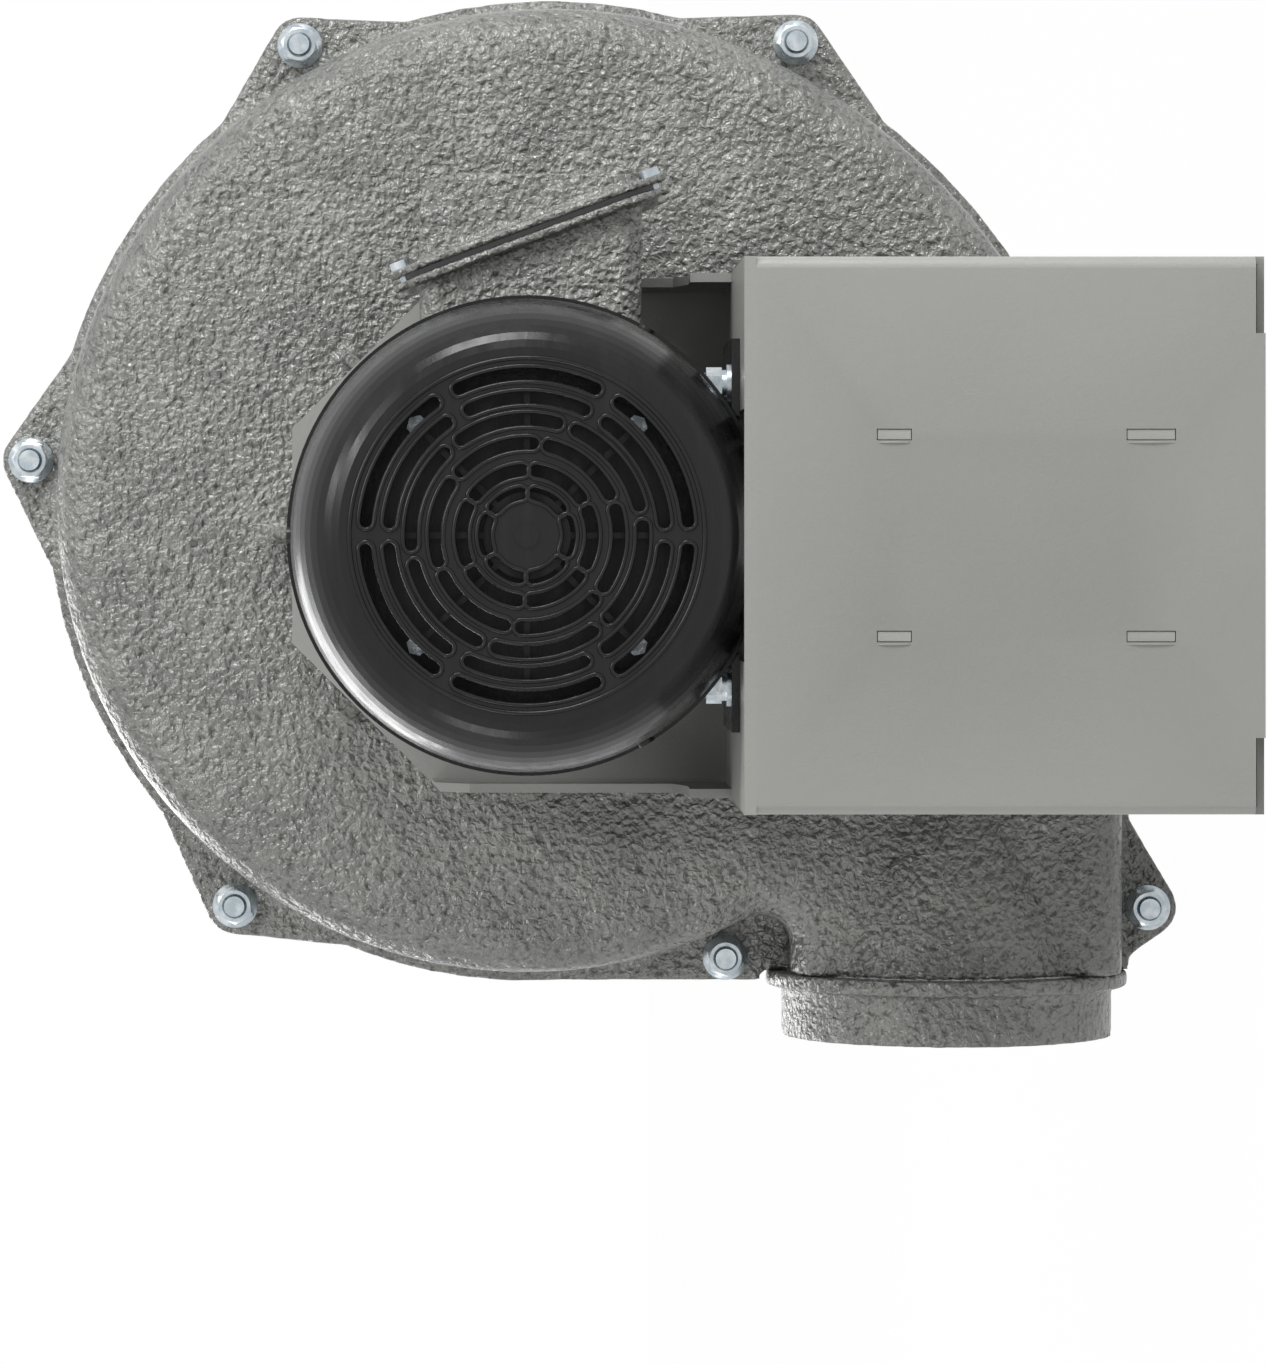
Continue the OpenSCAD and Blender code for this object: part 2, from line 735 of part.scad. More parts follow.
module support_plate() {
    color(sheet_grey)
        difference() {
            intersection() {
                translate([0, plate_y, 0])
                    linear_extrude(axis_z + plate_rise) channel_profile(foot_lip_d, plate_t, bend_r + cut);
                translate([0, plate_back_y + cut, 0]) rotate([90, 0, 0])
                    linear_extrude(foot_lip_d + plate_t + 2 * cut) plate_outline();
                translate([-half_ped_w - cut, 0, 0]) rotate([90, 0, 90])
                    linear_extrude(ped_w + 2 * cut) plate_side_outline();
            }
            at_y(plate_back_y + cut) cylinder(r = plate_hole_r, h = plate_t + 2 * cut);
            for (a = plate_bolt_turns)
                at_y(plate_back_y + cut) rotate([0, 0, a]) translate([plate_bolt_circle_r, 0, 0])
                    cylinder(r = plate_bolt_r + hole_gap, h = plate_t + 2 * cut);
        }
}

plate_head_af = 16;
plate_head_h = 4;

module plate_bolts() {
    color(zinc)
        for (a = plate_bolt_turns)
            at_y(plate_y) rotate([0, 0, a]) translate([plate_bolt_circle_r, 0, 0]) {
                translate([0, 0, -plate_t - neck_wall])
                    cylinder(r = plate_bolt_r, h = plate_t + neck_wall + washer_t);
                cylinder(r = 2 * plate_bolt_r, h = washer_t);
                translate([0, 0, washer_t]) hex_prism(plate_head_af, plate_head_h);
            }
}

// Pedestal wrap: near panel and two side walls from one sheet, with turned-in feet
module wrap_profile() {
    difference() {
        union() {
            translate([-half_ped_w + bend_r, near_y]) square([ped_w - 2 * bend_r, sheet_t]);
            for (s = [-1, 1]) {
                translate([s * (half_ped_w - sheet_t / 2) - sheet_t / 2, near_y + bend_r])
                    square([sheet_t, ped_d - bend_r]);
                translate([s * (half_ped_w - bend_r), near_y + bend_r]) circle(r = bend_r);
            }
        }
        for (s = [-1, 1])
            translate([s * (half_ped_w - bend_r), near_y + bend_r]) circle(r = bend_r - sheet_t);
        translate([-half_ped_w + sheet_t, near_y + bend_r]) square([ped_w - 2 * sheet_t, ped_d]);
        translate([-half_ped_w + bend_r, near_y + sheet_t]) square([ped_w - 2 * bend_r, bend_r]);
    }
}

notch_h = 3.9;
slot_play = 0.35;
tab_set = 0.4;

module pedestal_shell() {
    color(sheet_grey)
        difference() {
            union() {
                difference() {
                    linear_extrude(deck_z) wrap_profile();
                    for (s = [-1, 1])
                        translate([s * (tongue_w / 2 + ped_w / 2) - ped_w / 2, near_y - cut, -cut])
                            cube([ped_w, bend_r + cut, notch_h + cut]);
                }
                for (s = [-1, 1])
                    translate([s * (half_ped_w - foot_flange_w / 2) - foot_flange_w / 2, near_y + bend_r, 0])
                        cube([foot_flange_w, ped_d - bend_r, sheet_t]);
                translate([-tongue_w / 2, near_y, 0]) cube([tongue_w, foot_flange_w, sheet_t]);
            }
            for (sx = [-1, 1], sy = [-1, 1])
                translate([sx * base_hole_x / 2, sy * base_hole_y / 2, -cut])
                    cylinder(r = base_hole_r, h = sheet_t + 2 * cut);
            for (s = [-1, 1], i = [0, 1])
                translate([s * web_gap / 2 - web_t / 2 - slot_play, near_y - cut, tab_zs[i] - slot_play])
                    cube([web_t + 2 * slot_play, sheet_t + 2 * cut, tab_lengths[i] + 2 * slot_play]);
        }
}

cowl_cut_w = 104;
cowl_cut_play = 3;
cowl_cut_front = 4;

module pedestal_top() {
    color(sheet_grey)
        difference() {
            translate([-half_ped_w, near_y, deck_z]) cube([ped_w, ped_d, top_t]);
            translate([-cowl_cut_w / 2, near_y + cowl_cut_front, deck_z - cut])
                cube([cowl_cut_w, cowl_rim_y + cowl_cut_play - near_y - cowl_cut_front, top_t + 2 * cut]);
            for (p = foot_places())
                translate([p.x, p.y, deck_z - cut]) cylinder(r = foot_bolt_r + hole_gap, h = top_t + 2 * cut);
        }
}

function foot_places() = [
    for (sx = [-1, 1], y = [foot_front_y, foot_back_y]) [sx * foot_bolt_x / 2, y]
];

module pedestal_webs() {
    color(sheet_grey)
        for (s = [-1, 1])
            translate([s * web_gap / 2 - web_t / 2, 0, 0]) {
                translate([0, near_y + sheet_t, sheet_t])
                    cube([web_t, ped_d - sheet_t, deck_z - sheet_t]);
                for (i = [0, 1])
                    translate([0, near_y + tab_set, tab_zs[i]])
                        cube([web_t, sheet_t, tab_lengths[i]]);
            }
}

// Non-ferrous rubbing ring round the wheel's hub
ring_t = 6;
ring_flange_t = 3;
ring_flange_r = 44;
ring_screw_r = 2;
ring_screw_circle_r = 38;

ring_bore_gap = 0.5;
ring_screws_n = 4;

module at_ring_screws() {
    for (i = [0:ring_screws_n - 1])
        rotate([0, 0, i * 360 / ring_screws_n]) translate([ring_screw_circle_r, 0, 0]) children();
}

module shaft_seal_ring() {
    color([0.72, 0.55, 0.30])
        at_y(split_y - gasket_t / 2 - half_h)
            difference() {
                union() {
                    cylinder(r = ring_flange_r, h = ring_flange_t);
                    translate([0, 0, -ring_t]) cylinder(r = seal_bore_r - gap, h = ring_t + ring_flange_t);
                }
                translate([0, 0, -ring_t - cut])
                    cylinder(r = hub_r + ring_bore_gap, h = ring_t + ring_flange_t + 2 * cut);
                at_ring_screws() translate([0, 0, -cut])
                    cylinder(r = ring_screw_r + fit_gap, h = ring_flange_t + 2 * cut);
            }
}

head_share = 1.9;

module seal_ring_screws() {
    color(zinc)
        at_y(split_y - gasket_t / 2 - half_h)
            at_ring_screws() {
                cylinder(r = ring_screw_r, h = ring_flange_t);
                translate([0, 0, ring_flange_t]) cylinder(r = ring_screw_r * head_share, h = ring_screw_r);
            }
}

// Wheel
hub_tail = 9;
hub_tail_y = shoulder_y + hub_tail;
hub_flange_t = 6;
key_w = 4.76;
key_len = 36;
key_rise = 2.4;
set_r = 3;
rivet_r = 2.4;
rivets_n = 8;
rivet_circle_r = 38;

hub_nose_len = 16;
hub_nose_r = 16;

module at_rivets(y) {
    for (i = [0:rivets_n - 1])
        at_y(y) rotate([0, 0, i * 360 / rivets_n]) translate([rivet_circle_r, 0, 0]) children();
}

module wheel_hub() {
    color(bare_alu)
        difference() {
            union() {
                at_y(back_y) cylinder(r = hub_r, h = back_y - hub_tail_y);
                at_y(back_y) cylinder(r = hub_flange_r, h = hub_flange_t);
                at_y(back_y + hub_nose_len) cylinder(r1 = hub_nose_r, r2 = hub_r, h = hub_nose_len);
            }
            at_y(shaft_end_y) cylinder(r = shaft_r + fit_gap, h = shaft_end_y - hub_tail_y + cut);
            translate([-key_w / 2 - fit_gap, hub_tail_y - cut, axis_z])
                cube([key_w + 2 * fit_gap, shaft_end_y - hub_tail_y + cut, shaft_r + key_rise + fit_gap]);
            translate([0, set_y, axis_z]) cylinder(r = set_r, h = hub_r + cut);
            translate([0, set_y, axis_z]) rotate([0, 90, 0]) cylinder(r = set_r, h = hub_r + cut);
            at_rivets(back_y + cut) cylinder(r = rivet_r, h = hub_flange_t + 2 * cut);
        }
}

set_inset = 10;
set_sink = 2;
set_y = hub_tail_y + set_inset;

module hub_setscrews() {
    color([0.2, 0.2, 0.22]) {
        translate([0, set_y, axis_z + shaft_r + key_rise + gap])
            cylinder(r = set_r - fit_gap, h = hub_r - shaft_r - key_rise - set_sink);
        translate([shaft_r + gap, set_y, axis_z]) rotate([0, 90, 0])
            cylinder(r = set_r - fit_gap, h = hub_r - shaft_r - set_sink);
    }
}

module wheel_backplate() {
    color(bare_alu)
        difference() {
            at_y(back_y + back_t) cylinder(r = wheel_r, h = back_t);
            at_y(back_y + back_t + cut) cylinder(r = hub_r + gap, h = back_t + 2 * cut);
            at_rivets(back_y + back_t + cut) cylinder(r = rivet_r, h = back_t + 2 * cut);
        }
}

rivet_head_h = 1.5;

module wheel_rivets() {
    color(bare_alu)
        at_rivets(back_y + back_t) {
            cylinder(r = rivet_r - fit_gap, h = back_t + hub_flange_t);
            translate([0, 0, -rivet_head_h]) cylinder(r = rivet_r * head_share, h = rivet_head_h);
            translate([0, 0, back_t + hub_flange_t]) cylinder(r = rivet_r * head_share, h = rivet_head_h);
        }
}

blade_root_r = 52;

blade_root_cut = 16;
eye_land = 4;
eye_drop = 1;
blade_gap = 0.1;

module wheel_blades() {
    color(bare_alu)
        for (i = [0:blades - 1])
            translate([0, back_y + back_t, axis_z]) rotate([0, i * 360 / blades, 0])
                translate([0, 0, -blade_t / 2])
                    linear_extrude(blade_t)
                        polygon([
                            [blade_root_r, 0], [wheel_r, 0], [wheel_r, blade_w_tip - blade_gap],
                            [eye_r + eye_land, blade_w_eye - eye_drop - blade_gap],
                            [blade_root_r, blade_w_eye - blade_root_cut]
                        ]);
}

shroud_t = 2.5;

shroud_lip = 5;

module wheel_shroud() {
    color(bare_alu)
        translate([0, back_y + back_t, axis_z]) rotate([-90, 0, 0])
            rotate_extrude()
                polygon([
                    [eye_r, blade_w_eye + shroud_lip], [eye_r, blade_w_eye],
                    [eye_r + eye_land, blade_w_eye - eye_drop], [wheel_r, blade_w_tip],
                    [wheel_r, blade_w_tip + shroud_t],
                    [eye_r + eye_land + shroud_t, blade_w_eye + shroud_t - eye_drop],
                    [eye_r + shroud_t, blade_w_eye + shroud_lip]
                ]);
}

key_inset = 2;

module shaft_key() {
    color([0.5, 0.5, 0.52])
        translate([-key_w / 2, shaft_end_y - key_len - key_inset, axis_z + shaft_r - key_rise])
            cube([key_w, key_len, 2 * key_rise]);
}

// Motor internals
journal_r = 8.5;
bearing_inset = 4;
journal_front_y = shoulder_y - bearing_inset;
bearing_w = 12;
bearing_r = 20;
race_t = 3.2;
core_shaft_r = 11;
core_len = 62;
core_mid_y = (frame_front_y + frame_back_y) / 2;
rotor_r = 41;
air_gap = 0.5;
rear_bearing_inset = 3;
rear_bearing_y = frame_back_y - rear_bearing_inset;
fan_setback = 12;
fan_y = cowl_rim_y - fan_setback;
fan_h = 26;
core_step = 7;
rear_journal_len = 27;
rear_journal_lead = 5;
tail_lead = 20;
tail_past_fan = 4;

module motor_shaft() {
    color([0.66, 0.66, 0.68])
        difference() {
            union() {
                at_y(shaft_end_y) cylinder(r = shaft_r, h = shaft_out + cut);
                at_y(shoulder_y) cylinder(r = journal_r, h = shoulder_y - frame_front_y - core_step + cut);
                at_y(frame_front_y + core_step)
                    cylinder(r = core_shaft_r, h = frame_len + core_step - rear_journal_lead + 2 * cut);
                at_y(frame_back_y + rear_journal_lead) cylinder(r = journal_r, h = rear_journal_len);
                at_y(frame_back_y - tail_lead)
                    cylinder(r = shaft_r, h = frame_back_y - tail_lead - fan_y + fan_h + tail_past_fan);
            }
            translate([-key_w / 2, shaft_end_y - key_len - key_inset, axis_z + shaft_r - key_rise])
                cube([key_w, key_len + key_inset + cut, key_rise + cut]);
        }
}

module rotor_core() {
    color([0.45, 0.45, 0.47])
        at_y(core_mid_y + core_len / 2) tube(rotor_r, core_shaft_r + fit_gap, core_len);
}

end_ring_t = 9;

end_ring_w = 12;

module rotor_end_rings() {
    color(bare_alu)
        for (y = [core_mid_y + core_len / 2 + end_ring_t, core_mid_y - core_len / 2])
            at_y(y) tube(rotor_r - cut, rotor_r - cut - end_ring_w, end_ring_t);
}

function bearing_ys() = [journal_front_y, rear_bearing_y];

module bearing_inner_races() {
    color([0.7, 0.7, 0.72])
        for (y = bearing_ys())
            at_y(y) difference() {
                tube(journal_r + race_t, journal_r, bearing_w);
                translate([0, 0, bearing_w / 2]) rotate_extrude()
                    translate([(journal_r + bearing_r) / 2, 0]) circle(r = ball_r + ball_play, $fn = 32);
            }
}

ball_r = 3.3;
ball_play = 0.1;
balls_n = 8;

module bearing_balls() {
    color([0.8, 0.8, 0.82])
        for (y = bearing_ys(), i = [0:balls_n - 1])
            at_y(y) rotate([0, 0, i * 360 / balls_n])
                translate([(journal_r + bearing_r) / 2, 0, bearing_w / 2]) sphere(r = ball_r, $fn = 24);
}

module bearing_outer_races() {
    color([0.7, 0.7, 0.72])
        for (y = bearing_ys())
            at_y(y) difference() {
                tube(bearing_r, bearing_r - race_t, bearing_w);
                translate([0, 0, bearing_w / 2]) rotate_extrude()
                    translate([(journal_r + bearing_r) / 2, 0]) circle(r = ball_r + ball_play, $fn = 32);
            }
}

fan_blades = 8;
fan_hub_r = 18;
fan_disc_r = 62;
fan_disc_t = 2.5;
fan_blade_r = 64;
fan_blade_h = 24;

module cooling_fan() {
    color([0.12, 0.12, 0.12])
        at_y(fan_y) difference() {
            union() {
                cylinder(r = fan_hub_r, h = fan_h);
                cylinder(r = fan_disc_r, h = fan_disc_t);
                for (i = [0:fan_blades - 1])
                    rotate([0, 0, i * 360 / fan_blades])
                        translate([fan_hub_r - 2 * cut, -fan_disc_t / 2, 0])
                            cube([fan_blade_r - fan_hub_r + 2 * cut, fan_disc_t, fan_blade_h]);
            }
            translate([0, 0, -cut]) cylinder(r = shaft_r + fit_gap, h = fan_h + 2 * cut);
        }
}

// Motor shell
frame_wall = 6;
core_r = frame_r - fin_h - frame_wall;

fin_t = 3;
fin_seat = 2;
fin_inset = 6;

module motor_frame() {
    color(gloss_black)
        difference() {
            union() {
                at_y(frame_front_y) cylinder(r = frame_r - fin_h, h = frame_len);
                for (i = [0:fins - 1])
                    at_y(frame_front_y - fin_inset) rotate([0, 0, i * 360 / fins])
                        translate([frame_r - fin_h - fin_seat, -fin_t / 2, 0])
                            cube([fin_h + fin_seat, fin_t, frame_len - 2 * fin_inset]);
                translate([0, pad_y, axis_z - pad_w / 2]) cube([box_root, pad_len, pad_w]);
            }
            at_y(frame_front_y + cut) cylinder(r = core_r, h = frame_len + 2 * cut);
        }
}

box_near_y = frame_front_y - box_setback;
box_mid_y = box_near_y + box_y / 2;
box_root = frame_r + cut;
pad_w = 64;
pad_inset = 6;
pad_y = box_near_y + pad_inset;
pad_len = frame_front_y - pad_y - 2 * cut;
pad_mid_y = pad_y + pad_len / 2;
bell_inset = 4;
bell_r = frame_r - bell_inset;
bolt_circle_r = core_r - bell_inset;
tie_r = 2.4;
tie_head_r = 4.6;
tie_head_h = 4;
tie_nut_af = 8;
tie_nut_h = 3.5;
tie_tail = 1.5;
tie_turns = [45, 135, 225, 315];
bell_flange_t = 10;
bell_cone_t = 12;
tie_seat_y = frame_front_y + bell_cone_t + gap;
rear_plate_t = 8;
bell_nose_r = 34;
bell_shoulder_r = 46;
bell_bore_r = 38;
nose_inset = 2;
seal_gap = 0.6;

module at_ties(y) {
    for (a = tie_turns)
        at_y(y) rotate([0, 0, a]) translate([bolt_circle_r, 0, 0]) children();
}

module front_bell() {
    color(gloss_black)
        difference() {
            union() {
                at_y(frame_front_y + bell_flange_t) cylinder(r = bell_r, h = bell_flange_t);
                at_y(frame_front_y + bell_flange_t + bell_cone_t)
                    cylinder(r1 = bell_shoulder_r, r2 = bell_r, h = bell_cone_t);
                at_y(shoulder_y - nose_inset)
                    cylinder(r = bell_nose_r, h = shoulder_y - nose_inset - frame_front_y);
            }
            at_y(shoulder_y) cylinder(r = journal_r + seal_gap, h = front_bell_len + cut);
            at_y(journal_front_y) cylinder(r = bearing_r, h = front_bell_len);
            at_y(frame_front_y + bell_flange_t)
                cylinder(r1 = bell_bore_r, r2 = core_r, h = bell_flange_t + cut);
            at_ties(shoulder_y) {
                cylinder(r = tie_r + hole_gap, h = front_bell_len + cut);
                cylinder(r = tie_head_r + hole_gap, h = shoulder_y - tie_seat_y);
            }
        }
}

lug_turns = [90, -30, 210];

rear_nose_r = 32;
lug_w = 16;
lug_seat = 6;
lug_past = 6.5;
lug_reach = sqrt(pow(cowl_r - cowl_wall - gap, 2) - pow(lug_w / 2, 2));
lug_hole_r = 2;
lug_screw_inset = 7.2;
lug_screw_y = cowl_rim_y - lug_screw_inset;

module rear_bell() {
    color(gloss_black)
        difference() {
            union() {
                at_y(frame_back_y) cylinder(r = bell_r, h = rear_plate_t);
                at_y(frame_back_y) cylinder(r = rear_nose_r, h = rear_bell_len);
                for (a = lug_turns)
                    at_y(frame_back_y) rotate([0, 0, a]) translate([bell_r - lug_seat, -lug_w / 2, 0])
                        cube([lug_reach - bell_r + lug_seat, lug_w, rear_bell_len + 2 * lug_past]);
            }
            at_y(frame_back_y + cut) cylinder(r = journal_r + seal_gap, h = rear_bell_len + 2 * cut);
            at_y(frame_back_y + cut) cylinder(r = bearing_r, h = rear_bearing_inset + bearing_w + cut);
            at_ties(frame_back_y + cut) cylinder(r = tie_r + hole_gap, h = rear_plate_t + 2 * cut);
            for (a = lug_turns)
                at_y(lug_screw_y) rotate([0, 0, a]) translate([bell_r, 0, 0])
                    rotate([0, 90, 0]) cylinder(r = lug_hole_r, h = cowl_r);
        }
}

module through_bolts() {
    color(zinc)
        at_ties(tie_seat_y) {
            cylinder(r = tie_r, h = tie_seat_y - frame_back_y + rear_plate_t + tie_nut_h + tie_tail);
            translate([0, 0, -tie_head_h]) cylinder(r = tie_head_r, h = tie_head_h);
            translate([0, 0, tie_seat_y - frame_back_y + rear_plate_t]) hex_prism(tie_nut_af, tie_nut_h);
        }
}

module stator_core() {
    color([0.35, 0.36, 0.38])
        difference() {
            at_y(core_mid_y + core_len / 2) tube(core_r, rotor_r + air_gap, core_len);
            at_ties(core_mid_y + core_len / 2 + cut) cylinder(r = tie_r + hole_gap, h = core_len + 2 * cut);
        }
}

coil_len = 15;
coil_in = 4;
coil_w = 13;

module stator_windings() {
    color([0.62, 0.33, 0.14])
        for (y = [core_mid_y + core_len / 2 + coil_len, core_mid_y - core_len / 2])
            at_y(y) tube(rotor_r + coil_in + coil_w, rotor_r + coil_in, coil_len);
}

foot_end = 12.8;
base_y0 = foot_front_y + foot_end;
base_y1 = foot_back_y - foot_end;
leg_x = 50;
leg_rise = foot_drop - sqrt(pow(box_root, 2) - leg_x * leg_x);

module motor_base() {
    color(gloss_black)
        difference() {
            union() {
                for (s = [-1, 1]) {
                    translate([s * (foot_w / 2 + leg_x) / 2 - (foot_w / 2 - leg_x) / 2, base_y1, top_z])
                        cube([foot_w / 2 - leg_x, base_y0 - base_y1, foot_t]);
                    translate([s * (leg_x + foot_t / 2) - foot_t / 2, frame_back_y, top_z])
                        cube([foot_t, base_y0 - frame_back_y, leg_rise]);
                }
                intersection() {
                    at_y(base_y0) tube(frame_r + foot_t, frame_r + fit_gap, base_y0 - frame_back_y);
                    translate([-leg_x - foot_t, frame_back_y, top_z])
                        cube([2 * (leg_x + foot_t), base_y0 - frame_back_y, foot_drop / 2]);
                }
            }
            at_y(cowl_rim_y + cut) cylinder(r = rim_r + 2 * gap, h = cowl_len);
            for (p = foot_places())
                translate([p.x, p.y, top_z - cut]) cylinder(r = foot_bolt_r + hole_gap, h = foot_t + 2 * cut);
        }
}

washer_r = 8.7;
spring_r = 6.4;
foot_washer_t = 1.8;
spring_t = 2;
foot_nut_h = 6.5;
foot_nut_af = 13;
foot_head_h = 5.3;
foot_stack = foot_t + foot_washer_t + spring_t + foot_nut_h;

module foot_bolts() {
    color(zinc)
        for (p = foot_places())
            translate([p.x, p.y, deck_z]) {
                cylinder(r = foot_bolt_r, h = top_t + foot_stack + foot_bolt_r);
                translate([0, 0, -foot_head_h]) hex_prism(foot_nut_af, foot_head_h);
            }
}

module foot_washers() {
    color(zinc)
        for (p = foot_places())
            translate([p.x, p.y, top_z + foot_t]) {
                tube(washer_r, foot_bolt_r + fit_gap, foot_washer_t);
                translate([0, 0, foot_washer_t]) tube(spring_r, foot_bolt_r + fit_gap, spring_t);
            }
}

module foot_nuts() {
    color(zinc)
        for (p = foot_places())
            translate([p.x, p.y, top_z + foot_t + foot_washer_t + spring_t])
                difference() {
                    hex_prism(foot_nut_af, foot_nut_h);
                    translate([0, 0, -cut]) cylinder(r = foot_bolt_r + fit_gap, h = foot_nut_h + 2 * cut);
                }
}

// Fan cowl: a turned shell with an oval shoulder and a face of curved slots
slot_ring_shares = [0.894, 0.763, 0.642, 0.509, 0.362, 0.234];
slot_rings = len(slot_ring_shares) - 1;
slots_n = 6;
slot_starts = [65, 65.5, 75, 86.5, 94.5, 98.5];
slot_spans = [50, 49, 49.5, 49.5, 47.5, 41];

function shoulder_points(r_side, r_face, y0, len, n) = [
    for (i = [0:n]) [r_face + (r_side - r_face) * cos(90 * i / n), y0 + len * sin(90 * i / n)]
];

slot_steps = 6;
slot_end_steps = 5;

// One slot as a single outline: two arcs and two round ends
function slot_outline(r, a0, a1, w) = concat(
    [for (i = [0:slot_steps]) (r + w / 2) * dir(a0 + (a1 - a0) * i / slot_steps)],
    [for (i = [1:slot_end_steps - 1]) r * dir(a1) + w / 2 * dir(a1 + 180 * i / slot_end_steps)],
    [for (i = [slot_steps:-1:0]) (r - w / 2) * dir(a0 + (a1 - a0) * i / slot_steps)],
    [for (i = [1:slot_end_steps - 1]) r * dir(a0) + w / 2 * dir(a0 + 180 + 180 * i / slot_end_steps)]
);

// Slot angles are measured from the side that faces the floor
module all_slots(w, z0, h) {
    for (k = [0:slot_rings], i = [0:slots_n - 1])
        translate([0, 0, z0]) rotate([0, 0, 360 * i / slots_n - 90])
            linear_extrude(h)
                polygon(slot_outline(face_r * slot_ring_shares[k],
                    slot_starts[k], slot_starts[k] + slot_spans[k], w));
}

cap_r = 5;
rim_len = 3;
shoulder_steps = 12;
cowl_hole_r = 2.3;

module fan_cowl() {
    side = cowl_len - shoulder_len;
    outer = shoulder_points(cowl_r, face_r, side, shoulder_len, shoulder_steps);
    inner = shoulder_points(cowl_r - cowl_wall, face_r - cut, side, shoulder_len - cowl_wall, shoulder_steps);
    color(gloss_black)
        at_y(cowl_rim_y)
            difference() {
                union() {
                    rotate_extrude()
                        polygon(concat(
                            [[0, cowl_len - cowl_wall], [0, cowl_len]],
                            [for (i = [shoulder_steps:-1:0]) outer[i]],
                            [[cowl_r, rim_len], [rim_r, rim_len], [rim_r, 0], [cowl_r - cowl_wall, 0]],
                            inner
                        ));
                    translate([0, 0, cowl_len - cut]) cylinder(r = cap_r, h = cut + slot_rim_h);
                    all_slots(slot_w + 2 * slot_rim_w, cowl_len - cut, cut + slot_rim_h);
                }
                all_slots(slot_w, cowl_len - cowl_wall - cut, cowl_wall + slot_rim_h + 2 * cut);
                for (a = lug_turns)
                    rotate([0, 0, a]) {
                        translate([cowl_r - 2 * cowl_wall, 0, cowl_rim_y - lug_screw_y])
                            rotate([0, 90, 0]) cylinder(r = cowl_hole_r, h = 3 * cowl_wall);
                    }
            }
}

cowl_screw_r = 1.9;
cowl_screw_len = 10;
cowl_head_h = 1.6;

module cowl_screws() {
    color([0.1, 0.1, 0.1])
        at_y(lug_screw_y)
            for (a = lug_turns)
                rotate([0, 0, a]) translate([cowl_r - cowl_screw_len, 0, 0]) rotate([0, 90, 0]) {
                    cylinder(r = cowl_screw_r, h = cowl_screw_len);
                    translate([0, 0, cowl_screw_len]) cylinder(r = cowl_screw_r * head_share, h = cowl_head_h);
                }
}

// Conduit box: stands on the frame's pad on the +X side and is cut on a slant
slant = atan2(box_high - box_low, box_up + box_down);

module box_section(grow) {
    r = box_corner_r + grow;
    y0 = box_near_y - grow;
    y1 = box_near_y + box_y + grow;
    z0 = -box_down - grow;
    z1 = box_up + grow;
    union() {
        translate([y0 + r, z0]) square([y1 - y0 - 2 * r, z1 - z0]);
        translate([y0, z0 + r]) square([y1 - y0, z1 - z0 - 2 * r]);
        for (y = [y0 + r, y1 - r], z = [z0 + r, z1 - r])
            translate([y, z]) circle(r = r);
    }
}

module along_x(x) {
    translate([x, 0, axis_z]) rotate([90, 0, 90]) children();
}

// The slanted frame has its z axis square to the lid, and its y axis along the slope
module slanted() {
    translate([box_high, 0, axis_z - box_down]) rotate([0, 90 - slant, 0]) rotate([0, 0, 90]) children();
}

slope_len = (box_up + box_down) / cos(slant);

module slab(grow, h) {
    r = box_corner_r + grow;
    linear_extrude(h) {
        translate([box_near_y - grow + r, -grow]) square([box_y + 2 * grow - 2 * r, slope_len + 2 * grow]);
        translate([box_near_y - grow, -grow + r]) square([box_y + 2 * grow, slope_len + 2 * grow - 2 * r]);
        for (y = [box_near_y - grow + r, box_near_y + box_y + grow - r], z = [-grow + r, slope_len + grow - r])
            translate([y, z]) circle(r = r);
    }
}

lid_screw_inset = 12;
lid_screw_out = 6;
lid_screw_r = 2.4;
lid_head_r = 4.6;
lid_head_h = 3.4;
lid_boss_r = 6.5;
big_share = 3;

module at_lid_screws() {
    for (y = [box_near_y + lid_screw_inset, box_near_y + box_y - lid_screw_inset],
         z = [-lid_screw_out, slope_len + lid_screw_out])
        translate([y, z, 0]) children();
}

// Flange of the box or the lid, with a round boss at each screw
module slanted_flange(z0) {
    slanted() translate([0, 0, z0]) slab(box_flange_w, box_flange_t);
    slanted() at_lid_screws() translate([0, 0, z0]) cylinder(r = lid_boss_r, h = box_flange_t);
}

// Everything below the slanted plane
module below_slant(over) {
    size = big_share * box_high;
    slanted() translate([-size / 2, -size / 2, over - size]) cube([size, size, size]);
}

pad_hole_r = 18;
entry_inset = 12.8;

module conduit_box() {
    color(cast_grey)
        difference() {
            union() {
                intersection() {
                    along_x(box_root) linear_extrude(box_high + box_wall - box_root) box_section(0);
                    below_slant(-box_flange_t);
                }
                slanted_flange(-box_flange_t);
            }
            intersection() {
                along_x(box_root + box_wall) linear_extrude(box_high) box_section(-box_wall);
                below_slant(cut);
            }
            slanted() at_lid_screws() translate([0, 0, -box_flange_t - cut])
                cylinder(r = lid_screw_r + fit_gap, h = box_flange_t + 2 * cut);
            along_x(box_root - cut) translate([pad_mid_y, 0, 0]) cylinder(r = pad_hole_r, h = box_wall + 2 * cut);
            translate([box_root + entry_inset, box_mid_y, axis_z + box_up - box_wall - cut])
                cylinder(r = conduit_r, h = box_wall + 2 * cut);
        }
}

gasket_inset = 0.8;

